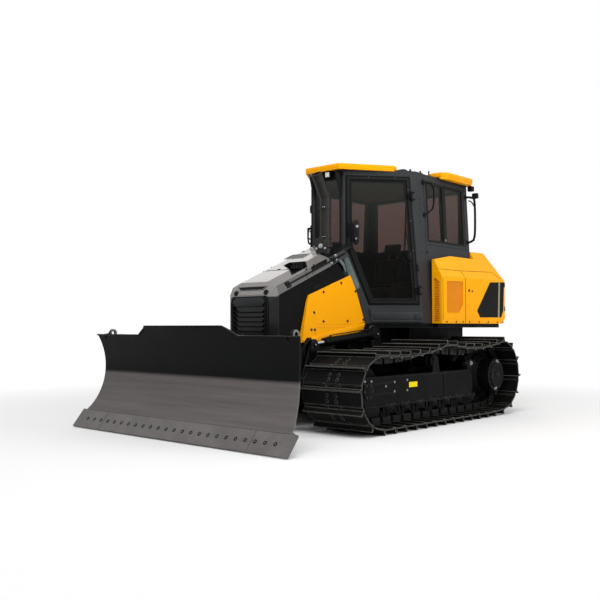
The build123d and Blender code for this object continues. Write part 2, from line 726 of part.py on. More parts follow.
def cab_plan(height):
    """The cab's six corners at a height."""
    half = cab_side(height)
    corner = cab_front + (half - cab_front_half) * door_along[1] / door_along[0]
    left = [(cab_front_half, st(cab_front)), (half, st(corner)), (half, st(cab_rear))]
    return left + [(-x, y) for x, y in reversed(left)]


def cab_body(inset, low, high):
    """The cab's outer form between two heights, moved inwards by an inset."""
    with BuildPart() as body:
        with BuildSketch(Plane.XY.offset(low)) as foot:
            Polygon(*moved_in(plan, inset), align=None)
        extrude(foot.sketch, amount=high - low)
        outside = cab_half + cab_wall
        for side in (-1, 1):
            lean = [(side * (cab_side(low) - inset), low), (side * (cab_side(high) - inset), high),
                    (side * outside, high), (side * outside, low)]
            prism(lean, Plane.XZ.offset(-st(cab_front)), cab_front - cab_rear, Mode.SUBTRACT)
    return body.part


plan = cab_plan(cab_floor)
roof_plan = cab_plan(cab_top)
roof_half = cab_side(cab_top)

hood_gap = 12.0                 # between the hood's panels and the cab
corner_gap = 139.0              # between the hood's flanks and the cab's slanted corner
corner_inner = 320.0            # the flanks are what lies outside this half width


def cut_round_corner():
    """Cut the hood's flanks back further than its crown, clear of the cab's slanted corner."""
    with BuildSketch(Plane.XY.offset(cab_floor - 300)) as corner_space:
        Polygon(*plan, align=None)
        offset(amount=corner_gap, kind=Kind.INTERSECTION)
        Rectangle(2 * (corner_inner), 20 * corner_inner, mode=Mode.SUBTRACT)
    extrude(corner_space.sketch, amount=cab_top, mode=Mode.SUBTRACT)


def cut_round_cab():
    """Cut the piece in hand back from the cab's plan by the hood gap."""
    with BuildSketch(Plane.XY.offset(cab_floor - 300)) as cab_space:
        Polygon(*plan, align=None)
        offset(amount=hood_gap, kind=Kind.INTERSECTION)
    extrude(cab_space.sketch, amount=cab_top, mode=Mode.SUBTRACT)


# ---------------------------------------------------------------- hood
nose_station = -1795.0
crest_station = -1710.0         # where the steep front of the hood meets its long slope
hood_end = -395.0
hood_slope = 22.4               # degrees
hood_edge = 330.0               # half width at the top of the bevel
hood_crown_half = 200.0
hood_crown = 50.0
bevel_half = 375.0
bevel_drop = 92.0
hood_skin = 20.0
crest_height = 1515.0           # of the bevel's top edge, at the crest
nose_bottom = 905.0
nose_badge = 1416.0
nose_wide = 1330.0
side_bottom = 1000.0

crest = (st(crest_station), crest_height)
slope_dir = (cos(radians(hood_slope)), sin(radians(hood_slope)))
hood_length = (hood_end - crest_station) / slope_dir[0]


def hood_height(station, drop=0.0):
    """Height of the bevel's top edge at a station, less a drop."""
    return crest_height + (station - crest_station) * slope_dir[1] / slope_dir[0] - drop


outer_half = [(bevel_half, -bevel_drop), (hood_edge, 0), (hood_crown_half, hood_crown)]
inner_half = [(bevel_half - hood_skin, -bevel_drop), (hood_edge - hood_skin, -hood_skin),
              (hood_crown_half - hood_skin / 2, hood_crown - hood_skin)]


def both_sides(half):
    """A half outline on the left, joined to its mirror image on the right."""
    return half + [(-x, y) for x, y in reversed(half)]


intake_wall = 12.0
intake_depth = 95.0             # of the intake tray's floor below the hood's crown
intake_margin = 30.0            # between the tray and the bevel's top edge
intake_rear = -1085.0
intake_inner = -60.0
intake_rim = 11.0               # over the air mouth
intake_sill = 20.0              # under the air mouth
# the tray's outline seen from above; columns: X, station
intake_plan = [(intake_inner, intake_rear), (intake_inner, intake_rear - 105),
               (hood_edge - intake_margin, intake_rear - 355),
               (hood_edge - intake_margin, intake_rear - 95),
               (hood_crown_half - 10, intake_rear)]


def intake_body(inset, drop, rise=0.0):
    """The intake's outline, moved inwards, as a solid from a depth under the hood's crown upwards."""
    ends = (intake_rear - 400, intake_rear + 50)
    slab = [(st(y), hood_height(y) + hood_crown - drop) for y in ends]
    slab += [(st(y), hood_height(y) + hood_crown + rise) for y in reversed(ends)]
    with BuildPart() as body:
        side_prism(slab, -bevel_half, bevel_half)
        with BuildSketch() as seen_from_above:
            Polygon(*[(x, st(y)) for x, y in intake_plan], align=None)
            if inset:
                offset(amount=-inset, kind=Kind.INTERSECTION)
        extrude(seen_from_above.sketch, amount=hood_height(hood_end) + 2 * hood_crown, mode=Mode.INTERSECT)
    return body.part


def trim_to_hood(mode):
    """Cut the part with all that lies under the hood's outer skin."""
    with BuildSketch(Plane.XZ.offset(-crest[0])) as under_skin:
        with BuildLine():
            below = [(x, z + crest[1]) for x, z in [(bevel_half, -600)] + outer_half]
            Polyline(*both_sides(below), close=True)
        make_face()
    extrude(under_skin.sketch, amount=hood_length, dir=(0, *slope_dir), mode=mode)


with BuildPart() as hood_top:
    skin = both_sides(outer_half) + list(reversed(both_sides(inner_half)))
    with BuildSketch(Plane.XZ.offset(-crest[0])) as section:
        with BuildLine():
            Polyline(*[(x, z + crest[1]) for x, z in skin], close=True)
        make_face()
    extrude(section.sketch, amount=hood_length, dir=(0, *slope_dir))
    cut_round_cab()
    cut_round_corner()
    add(intake_body(0, hood_crown + 2 * hood_skin, hood_crown), mode=Mode.SUBTRACT)
save(hood_top, "hood_top")

with BuildPart() as hood_nose:
    front_half = [(nose_half - 12, nose_bottom), (nose_half, nose_wide), (nose_half - 30, nose_badge),
                  (nose_half - 130, nose_badge + 14)]
    rear_half = [(bevel_half - 6, side_bottom), (bevel_half - 6, crest_height - bevel_drop),
                 (hood_edge, crest_height), (hood_crown_half, crest_height + hood_crown)]
    with BuildSketch(Plane.XZ.offset(-st(nose_station + 30))) as front_section:
        with BuildLine():
            Polyline(*both_sides(front_half), close=True)
        make_face()
    with BuildSketch(Plane.XZ.offset(-st(crest_station - 1))) as rear_section:
        with BuildLine():
            Polyline(*both_sides(rear_half), close=True)
        make_face()
    loft([front_section.sketch, rear_section.sketch], ruled=True)
save(hood_nose, "hood_nose")

with BuildPart() as grille:
    frame_line = both_sides(front_half)
    prism(frame_line, Plane.XZ.offset(-st(nose_station + 30)), 24)
    window = both_sides([(nose_half - 60, nose_bottom + 30), (nose_half - 45, nose_wide - 50),
                         (nose_half - 60, nose_wide - 15)])
    prism(window, Plane.XZ.offset(-st(nose_station + 12)), 40, Mode.SUBTRACT)
    for i in range(7):
        height = nose_bottom + 60 + i * 56
        box_between((-nose_half + 50, st(nose_station), height),
                    (nose_half - 50, st(nose_station + 14), height + 24))
save(grille, "grille")

flank_end = -745.0
with BuildPart() as hood_side:
    # the rear edge leaves the cab's quarter window free; columns: station, height
    rear_edge = [(flank_end, hood_height(flank_end, bevel_drop + 12)), (-590, 1665), (-520, 1640),
                 (-420, 1480), (hood_end, 1400)]
    black = [(st(crest_station), side_bottom), (st(crest_station), crest_height - bevel_drop - 4)]
    black += [(st(y), z) for y, z in rear_edge] + [(st(hood_end), side_bottom)]
    side_prism(black, bevel_half - 26, bevel_half - 6)
    cut_round_cab()
save_both(hood_side, "hood_sides")

panel_outer = 420.0             # the yellow panels lean in towards the hood's bevel
panel_outer_top = 378.0
panel_inner = 369.0
panel_low = 918.0
panel_high = 1684.0
with BuildPart() as side_panel:
    # columns: station, height
    yellow = [(-1405, panel_low), (-1290, 1356), (-1255, 1432), (-520, panel_high), (-420, 1500),
              (-290, 1145)]
    side_prism([(st(y), z) for y, z in yellow], panel_inner, panel_outer)
    lean = [(panel_outer, panel_low), (panel_outer_top, panel_high + 5), (panel_outer + 20, panel_high + 5),
            (panel_outer + 20, panel_low)]
    prism(lean, Plane.XZ.offset(-st(-1500)), -1500, Mode.SUBTRACT)
    cut_round_cab()
save_both(side_panel, "side_panels")

stack_x = 200.0
stack_station = -755.0
stack_radius = 62.0
stack_wall = 6.0
stack_bend = 2570.0             # height at which the stack leans forward
stack_tip = (-915.0, 2830.0)    # station and height of the mouth
with BuildPart() as exhaust_stack:
    foot = hood_height(stack_station) + hood_crown
    bend = (stack_x, st(stack_station), stack_bend)
    mouth = (stack_x, st(stack_tip[0]), stack_tip[1])
    bent_tube([(stack_x, st(stack_station), foot - 60), bend, mouth], stack_radius)
    round_bar(bend, mouth, stack_radius - stack_wall, Mode.SUBTRACT)
    round_bar((stack_x, st(stack_station), foot + 40), (stack_x, st(stack_station), foot + 60),
              stack_radius + 26)
    # the foot ends on the hood's outer skin
    trim_to_hood(Mode.SUBTRACT)
save(exhaust_stack, "exhaust_stack")

# the air intake is a tray let into the hood's top, with its mouth through the rear wall
with BuildPart() as intake_box:
    add(intake_body(0, intake_depth + intake_wall))
    trim_to_hood(Mode.INTERSECT)
    add(intake_body(intake_wall, intake_depth, hood_crown), mode=Mode.SUBTRACT)
    tray_floor = hood_height(intake_rear) + hood_crown - intake_depth
    box_between((intake_inner + 2 * intake_wall, st(intake_rear - 2 * intake_wall), tray_floor + intake_sill),
                (hood_crown_half - 10 - 2 * intake_wall, st(intake_rear + 5),
                 hood_height(intake_rear - intake_wall) + hood_crown - intake_rim), Mode.SUBTRACT)
save(intake_box, "intake_box")

# ---------------------------------------------------------------- cab shell
window_edge = 200.0             # half width of the windscreen
rear_window_half = 680.0
side_windows = ((460.0, 840.0), (872.0, 1310.0))    # front and rear station of each pane
sill_box_proud = 26.0

with BuildPart() as door_space:
    prism(door_outline(0), door_plane.offset(-cab_wall - 20), cab_wall + 60)

with BuildPart() as window_space:
    box_between((-window_edge, st(cab_front - 5), sill_height - 60),
                (window_edge, st(cab_front + cab_wall + 5), rail_height))
    box_between((-rear_window_half, st(cab_rear - cab_wall - 5), sill_height),
                (rear_window_half, st(cab_rear + 5), rail_height))
    for low_y, high_y in side_windows:
        for side in (-1, 1):
            low_x, high_x = sorted((side * (roof_half - cab_wall - 20), side * (cab_half + 5)))
            box_between((low_x, st(low_y), sill_height), (high_x, st(high_y), rail_height))

# the raised box along the foot of each door
with BuildPart() as sill_box:
    edge = door_edge(cab_floor)
    prism([(330, cab_floor + 10), (edge, cab_floor + 10), (edge, door_bottom - 50),
           (310, door_bottom - 50)], door_plane, sill_box_proud)

with BuildPart() as cab_frame:
    add(cab_body(0, cab_floor, cab_top))
    add(cab_body(cab_wall, cab_floor + floor_thickness, cab_top + 1), mode=Mode.SUBTRACT)
    add(window_space.part, mode=Mode.SUBTRACT)
    add(door_space.part, mode=Mode.SUBTRACT)
    mirror(door_space.part, about=Plane.YZ, mode=Mode.SUBTRACT)
    add(sill_box.part)
    mirror(sill_box.part, about=Plane.YZ)
save(cab_frame, "cab_frame")

# ---------------------------------------------------------------- glass
glass = 8.0
glass_inset = 24.0
with BuildPart() as cab_glass:
    add(cab_body(glass_inset, cab_floor, cab_top))
    add(cab_body(glass_inset + glass, cab_floor, cab_top + 1), mode=Mode.SUBTRACT)
    add(window_space.part, mode=Mode.INTERSECT)
save(cab_glass, "cab_glass")

# ---------------------------------------------------------------- doors


def hinge_at(height):
    """A point of the door's hinge line, which leans in with the side post."""
    return door_plane.from_local_coords((door_edge(height) - door_gap, height, hinge_out))


handle_station = 50.0
handle_height = 2226.0
handle_half = 74.0
handle_reach = 56.0
with BuildPart() as door:
    prism(door_outline(door_gap), door_plane.offset(door_proud - door_leaf), door_leaf)
    prism(door_outline(door_rim), door_plane.offset(door_proud - door_leaf - 5), door_leaf + 10,
          Mode.SUBTRACT)
    for height in hinge_heights:
        round_bar(hinge_at(height - 30), hinge_at(height + 30), hinge_pin + 8)
        edge = door_edge(height) - door_gap
        arm = [(edge - 43, height - 26), (edge, height - 26), (edge, height + 26), (edge - 43, height + 26)]
        prism(arm, door_plane.offset(door_proud - 4), hinge_out - door_proud + 12)
        round_bar(hinge_at(height - 40), hinge_at(height + 40), hinge_pin + pin_clearance, Mode.SUBTRACT)
    # columns: height over the handle's middle, distance out of the door
    bow = [(-handle_half, door_proud - 6), (-handle_half + 14, handle_reach),
           (handle_half - 14, handle_reach), (handle_half, door_proud - 6)]
    bent_tube([door_plane.from_local_coords((handle_station, handle_height + z, out)) for z, out in bow], 9)
save_pair(door, "door")

with BuildPart() as door_glass:
    prism(door_outline(door_rim), door_plane.offset(-20), glass)
save_pair(door_glass, "door_glass")

with BuildPart() as door_hinges:
    for height in hinge_heights:
        round_bar(hinge_at(height - 50), hinge_at(height + 50), hinge_pin)
        for low in (height - 50, height + 34):
            round_bar(hinge_at(low), hinge_at(low + 16), hinge_disc)
            edge = door_edge(low)
            plate = [(edge + 4, low), (edge + 34, low), (edge + 34, low + 16), (edge + 4, low + 16)]
            prism(plate, door_plane, hinge_out + 6)
            tie = [(edge - door_gap - 4, low), (edge + 10, low), (edge + 10, low + 16),
                   (edge - door_gap - 4, low + 16)]
            prism(tie, door_plane.offset(door_proud + 6), hinge_out - door_proud)
save_both(door_hinges, "door_hinges")

# ---------------------------------------------------------------- roof
roof_thickness = 45.0
visor_top = 3000.0
visor_front = -580.0
visor_drop = 15.0
roof_deck = cab_top + roof_thickness
with BuildPart() as roof:
    with BuildSketch(Plane.XY.offset(cab_top)) as slab:
        Polygon(*roof_plan, align=None)
    extrude(slab.sketch, amount=roof_thickness)
    with BuildSketch(Plane.XY.offset(roof_deck)) as crown:
        Polygon(*moved_in(roof_plan, 170), align=None)
    extrude(crown.sketch, amount=30)
save(roof, "roof")

# columns: X, station, from the middle of the front edge to the end over the door
visor_half = [(256, visor_front), (642, -14), (640, 20), (600, 100)]
visor_line = [(x, st(y)) for x, y in visor_half] + [(-x, st(y)) for x, y in reversed(visor_half)]
with BuildPart() as visor:
    with BuildSketch(Plane.XY.offset(roof_deck - visor_drop)) as brim:
        Polygon(*visor_line, align=None)
        Polygon(*roof_plan, align=None, mode=Mode.SUBTRACT)
    extrude(brim.sketch, amount=visor_drop)
    with BuildSketch(Plane.XY.offset(roof_deck)) as cap:
        Polygon(*visor_line, align=None)
        Polygon(*moved_in(roof_plan, 170), align=None, mode=Mode.SUBTRACT)
    extrude(cap.sketch, amount=visor_top - roof_deck)
save(visor, "roof_visor_front")

rear_visor_bottom = 2925.0
rear_visor_proud = 108.0        # outside the roof's sides
rear_visor_start = 730.0
rear_visor_over = 40.0          # behind the cab
rear_visor_band = 130.0         # how far it reaches in over the roof
with BuildPart() as rear_visor:
    # columns: X, station
    outer = roof_half + rear_visor_proud
    rear_half = [(roof_half - rear_visor_band, rear_visor_start), (outer - 60, rear_visor_start),
                 (outer, rear_visor_start + 90), (outer, cab_rear - 50),
                 (outer - 60, cab_rear + rear_visor_over)]
    with BuildSketch(Plane.XY.offset(rear_visor_bottom)) as rear_plan:
        Polygon(*[(x, st(y)) for x, y in both_sides(rear_half)], align=None)
        with Locations((0, st(cab_rear - rear_visor_band - 400))):
            Rectangle(2 * (roof_half - rear_visor_band), 800, mode=Mode.SUBTRACT)
    extrude(rear_plan.sketch, amount=visor_top - rear_visor_bottom)
    with BuildSketch(Plane.XY.offset(roof_deck)) as roof_crown:
        Polygon(*moved_in(roof_plan, 170), align=None)
    extrude(roof_crown.sketch, amount=30, mode=Mode.SUBTRACT)
    with BuildSketch(Plane.XY.offset(rear_visor_bottom - 10)) as roof_space:
        Polygon(*roof_plan, align=None)
    extrude(roof_space.sketch, amount=roof_deck - rear_visor_bottom + 10, mode=Mode.SUBTRACT)
save(rear_visor, "roof_visor_rear")

# ---------------------------------------------------------------- handrails and lamps
rear_rail_radius = 15.0
grab_rail_radius = 11.0
with BuildPart() as handrail:
    # columns: X, station, height
    rear_loop = [(760, 1400, 2795), (850, 1455, 2790), (888, 1460, 2740), (888, 1460, 2250),
                 (850, 1445, 2195), (760, 1400, 2185)]
    bent_tube([(x, st(y), z) for x, y, z in rear_loop], rear_rail_radius)
    grab = [(740, 400, 2850), (840, 420, 2850), (884, 425, 2800), (890, 425, 2590), (860, 425, 2520),
            (750, 400, 2500)]
    bent_tube([(x, st(y), z) for x, y, z in grab], grab_rail_radius)
    add(cab_body(0, cab_floor, cab_top), mode=Mode.SUBTRACT)
save_both(handrail, "handrails")

with BuildPart() as work_lamp:
    # columns: low X, high X, station of the lens, depth towards the cab, low Z, high Z
    lamps = [(20, 100, visor_front + 30, 70, 2838, roof_deck - visor_drop),
             (800, 872, cab_rear + 36, -70, 2850, rear_visor_bottom)]
    for low_x, high_x, lens, depth, low, high in lamps:
        back = lens + depth
        outline = [(st(lens), low), (st(lens), high), (st(back), high), (st(back), low + 24),
                   (st(lens + depth * 0.4), low)]
        side_prism(outline, low_x, high_x)
    add(cab_body(0, cab_floor, cab_top), mode=Mode.SUBTRACT)
save_both(work_lamp, "work_lamps")

# ---------------------------------------------------------------- inside the cab
seat_station = 560.0
cushion_bottom = 1480.0
cushion_top = 1590.0
back_top = 2200.0
armrest_top = 1680.0
dash_top = 1900.0
inside_floor = cab_floor + floor_thickness
with BuildPart() as seat_base:
    box_between((-190, st(seat_station - 200), inside_floor), (190, st(seat_station + 200), cushion_bottom))
save(seat_base, "seat_base")
with BuildPart() as seat:
    box_between((-250, st(seat_station - 260), cushion_bottom), (250, st(seat_station + 240), cushion_top))
    back = [(st(seat_station + 150), cushion_top - 5), (st(seat_station + 265), cushion_top - 5),
            (st(seat_station + 390), back_top), (st(seat_station + 300), back_top)]
    side_prism(back, -240, 240)
save(seat, "seat")
with BuildPart() as consoles:
    for side in (-1, 1):
        low, high = sorted((side * 310, side * 450))
        box_between((low, st(seat_station - 250), inside_floor), (high, st(seat_station + 230), armrest_top))
        round_bar((side * 380, st(seat_station - 190), armrest_top),
                  (side * 380, st(seat_station - 190), armrest_top + 150), 26)
    box_between((-120, st(cab_front + cab_wall + 85), inside_floor),
                (120, st(cab_front + cab_wall + 235), dash_top))
save(consoles, "consoles")

# ---------------------------------------------------------------- deck and rear bodywork
body_half = 1000.0
body_inner = cab_half + 5
cowl_front = 1005.0
cowl_rear = 2043.0
pod_front = 448.0
panel_seam = 4.0
side_top = 1700.0               # the fold where the sides turn in
body_slope = 2.0                # height per unit of width above the fold
pod_top = 1900.0                # at the pod's front
ridge_height = 2072.0
ridge_station = 1460.0          # where the sloping top reaches the ridge
ridge_end = 1800.0
tail_height = 1205.0            # where the tail is cut in below
tail_run = 80.0

body_section = [(body_inner, deck_top), (body_half, deck_top), (body_half, side_top),
                (body_half - (ridge_height - side_top) / body_slope, ridge_height),
                (body_half - (ridge_height - side_top) / body_slope - 40, ridge_height)]
# the top rises along the cab, then runs level and falls steeply at the tail; columns: station, height
over_body = [(pod_front - 10, pod_top), (ridge_station, ridge_height - 6), (ridge_end, ridge_height),
             (cowl_rear, side_top), (cowl_rear + 5, side_top), (cowl_rear + 5, ridge_height + 20),
             (pod_front - 10, ridge_height + 20)]
under_tail = [(cowl_rear - tail_run, deck_top), (cowl_rear + 5, deck_top), (cowl_rear + 5, tail_height),
              (cowl_rear, tail_height)]


def along_body(line):
    """A side outline with its stations turned into Y."""
    return [(st(y), z) for y, z in line]


with BuildPart() as deck:
    box_between((-body_half + 60, st(pod_front + 20), deck_bottom),
                (body_half - 60, st(cowl_rear - 60), deck_top))
    with BuildSketch(Plane.XY.offset(deck_bottom)) as front_deck:
        Polygon(*plan, align=None)
    extrude(front_deck.sketch, amount=deck_top - deck_bottom)
save(deck, "deck")

with BuildPart() as side_pod:
    pod_section = [(body_inner, deck_top), (body_half, deck_top), (body_half, side_top),
                   (body_inner, side_top + (body_half - body_inner) * body_slope)]
    prism(pod_section, Plane.XZ.offset(-st(pod_front)), pod_front - cowl_front + panel_seam)
    side_prism(along_body(over_body), body_inner - 5, body_half + 5, Mode.SUBTRACT)
    # the louvre slot in the front face
    slot = [(body_inner + 30, deck_top + 30), (body_half - 30, deck_top + 30),
            (body_half - 30, side_top - 60), (body_inner + 30, side_top - 10)]
    prism(slot, Plane.XZ.offset(-st(pod_front)), -30, Mode.SUBTRACT)
    # the mesh grille's recess; columns: station, height
    recess = [(pod_front + 120, deck_top + 131), (cowl_front - 154, deck_top + 131),
              (cowl_front - 53, deck_top + 227), (cowl_front - 53, side_top - 50),
              (pod_front + 120, side_top - 60)]
    side_prism(along_body(recess), body_half - 16, body_half + 5, Mode.SUBTRACT)
save_both(side_pod, "side_pods")

rear_hinge_heights = (1290.0, 1530.0)
rear_opening = (560.0, deck_top + 80, side_top - 95)    # half width, low and high edge
with BuildPart() as rear_cowl:
    prism(both_sides(body_section[1:4]), Plane.XZ.offset(-st(cowl_front)), cowl_front - cowl_rear)
    box_between((-body_inner, st(cowl_front - 10), deck_top - 10),
                (body_inner, st(cab_rear + 8), ridge_height + 50), Mode.SUBTRACT)
    side_prism(along_body(over_body), -body_half - 5, body_half + 5, Mode.SUBTRACT)
    side_prism(along_body(under_tail), -body_half - 5, body_half + 5, Mode.SUBTRACT)
    box_between((-rear_opening[0], st(cowl_rear - 120), rear_opening[1]),
                (rear_opening[0], st(cowl_rear + 5), rear_opening[2]), Mode.SUBTRACT)
    rear_axis = (-rear_opening[0] - 25, st(cowl_rear + 20))
    for height in rear_hinge_heights:
        round_bar((*rear_axis, height - 50), (*rear_axis, height + 50), hinge_pin)
        for low in (height - 50, height + 34):
            round_bar((*rear_axis, low), (*rear_axis, low + 16), hinge_disc)
            box_between((rear_axis[0] - hinge_disc, st(cowl_rear - 5), low),
                        (rear_axis[0], rear_axis[1], low + 16))
save(rear_cowl, "rear_cowl")

rear_clear = 6.0                # between the closed rear door and the cowl
rear_leaf = 30.0
louvre_count = 9
with BuildPart() as rear_door:
    half, low, high = rear_opening
    front_face = cowl_rear + rear_clear
    box_between((-half - 10, st(front_face), low - 15), (half + 30, st(front_face + rear_leaf), high + 15))
    box_between((-half + 60, st(front_face - 5), low + 40),
                (half - 40, st(front_face + rear_leaf + 5), high - 40), Mode.SUBTRACT)
    louvre_pitch = (high - low - 100) / louvre_count
    for i in range(louvre_count):
        base = low + 50 + (i + 0.3) * louvre_pitch
        box_between((-half + 59, st(front_face + 6), base),
                    (half - 39, st(front_face + rear_leaf - 6), base + 14))
    for height in rear_hinge_heights:
        round_bar((*rear_axis, height - 30), (*rear_axis, height + 30), hinge_disc)
        box_between((rear_axis[0], rear_axis[1] - 8, height - 30), (-half, rear_axis[1] + 8, height + 30))
        round_bar((*rear_axis, height - 40), (*rear_axis, height + 40), hinge_pin + pin_clearance,
                  Mode.SUBTRACT)
save(rear_door, "rear_door")

with BuildPart() as radiator:
    half, low, high = rear_opening
    box_between((-half + 1, st(cowl_rear - 119), low + 1), (half - 1, st(cowl_rear - 60), high - 1))
save(radiator, "radiator")
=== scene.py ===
"""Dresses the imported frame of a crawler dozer: enamel, worn steel, glass, track shoes and fittings."""

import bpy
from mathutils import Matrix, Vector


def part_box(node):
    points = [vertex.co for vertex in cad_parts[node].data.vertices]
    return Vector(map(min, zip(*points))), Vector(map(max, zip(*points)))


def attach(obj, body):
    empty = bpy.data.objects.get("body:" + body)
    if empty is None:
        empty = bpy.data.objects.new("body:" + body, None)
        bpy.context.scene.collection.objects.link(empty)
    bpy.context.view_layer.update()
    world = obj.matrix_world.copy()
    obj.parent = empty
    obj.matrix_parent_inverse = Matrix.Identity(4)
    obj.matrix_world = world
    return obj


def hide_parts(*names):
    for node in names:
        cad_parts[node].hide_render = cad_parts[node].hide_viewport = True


bl_info = {
    "name": "Crawler Dozer Dressing",
    "version": (1, 0, 0),
    "blender": (4, 5, 0),
    "location": "View3D > Sidebar > Dozer",
    "description": "Builds the finished look of a crawler dozer round its packed frame",
    "category": "Add Mesh",
}

from math import atan2, cos, degrees, hypot, radians, sin, tan, tau

import bmesh
import bpy
from bpy.props import FloatProperty, FloatVectorProperty, IntProperty, PointerProperty
from mathutils import Matrix, Vector

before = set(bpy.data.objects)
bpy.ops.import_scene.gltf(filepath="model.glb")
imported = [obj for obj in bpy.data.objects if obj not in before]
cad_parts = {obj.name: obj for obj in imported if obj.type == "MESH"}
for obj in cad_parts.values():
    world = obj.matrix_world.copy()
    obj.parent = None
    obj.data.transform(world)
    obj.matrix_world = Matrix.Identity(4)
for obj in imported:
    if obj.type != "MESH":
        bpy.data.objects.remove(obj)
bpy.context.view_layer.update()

# Shapes are drawn with Y as a station, the distance behind the middle of the tracks. A piece moves to
# the machine's own Y when it is finished.
FRONT_REACH = 2.905             # from the tracks' middle to the cutting edge's tip
TRACK_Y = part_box("cutting_edge")[0].y + FRONT_REACH
OUT, FORE, AFT, UP = Vector((1, 0, 0)), Vector((0, -1, 0)), Vector((0, 1, 0)), Vector((0, 0, 1))


def station_box(name):
    """The corners of a CAD node's box, with Y as a station."""
    return [corner - AFT * TRACK_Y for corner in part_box(name)]


def linear(code):
    """A linear colour with alpha from an sRGB hex code."""
    channels = [int(code[i:i + 2], 16) / 255 for i in (1, 3, 5)]
    return (*[c / 12.92 if c <= 0.04045 else ((c + 0.055) / 1.055) ** 2.4 for c in channels], 1.0)


# ---------------------------------------------------------------- shapes
def axes(x, y, z):
    """A turning matrix from its three axes."""
    return Matrix((x, y, z)).transposed().to_4x4()


def facing(origin, normal):
    """A placing whose Z runs along a normal and whose Y is as near to up as it can be."""
    z = Vector(normal).normalized()
    x = (UP if abs(z.z) < 0.99 else AFT).cross(z).normalized()
    return Matrix.Translation(origin) @ axes(x, z.cross(x), z)


def sideways(x):
    """A placing at an X whose own X and Y are the station and the height."""
    return facing((x, 0, 0), OUT)


def raised(place, lift):
    """A placing lifted along its own Z."""
    return place @ Matrix.Translation((0, 0, lift))


def flat_at(height):
    """A flat placing at a height."""
    return Matrix.Translation((0, 0, height))


def both_sides(points):
    """An outline from the points of its left half."""
    return points + [(-x, y) for x, y in reversed(points)]


def oblong(half_x, half_y):
    """A rectangle's outline from half its sizes."""
    return [(-half_x, -half_y), (half_x, -half_y), (half_x, half_y), (-half_x, half_y)]


def corners_of(made):
    """The vertices among what a bmesh operator made."""
    return [g for g in made["geom"] if isinstance(g, bmesh.types.BMVert)]


def faces_of(verts):
    """The faces that meet the vertices."""
    return {f for v in verts for f in v.link_faces}


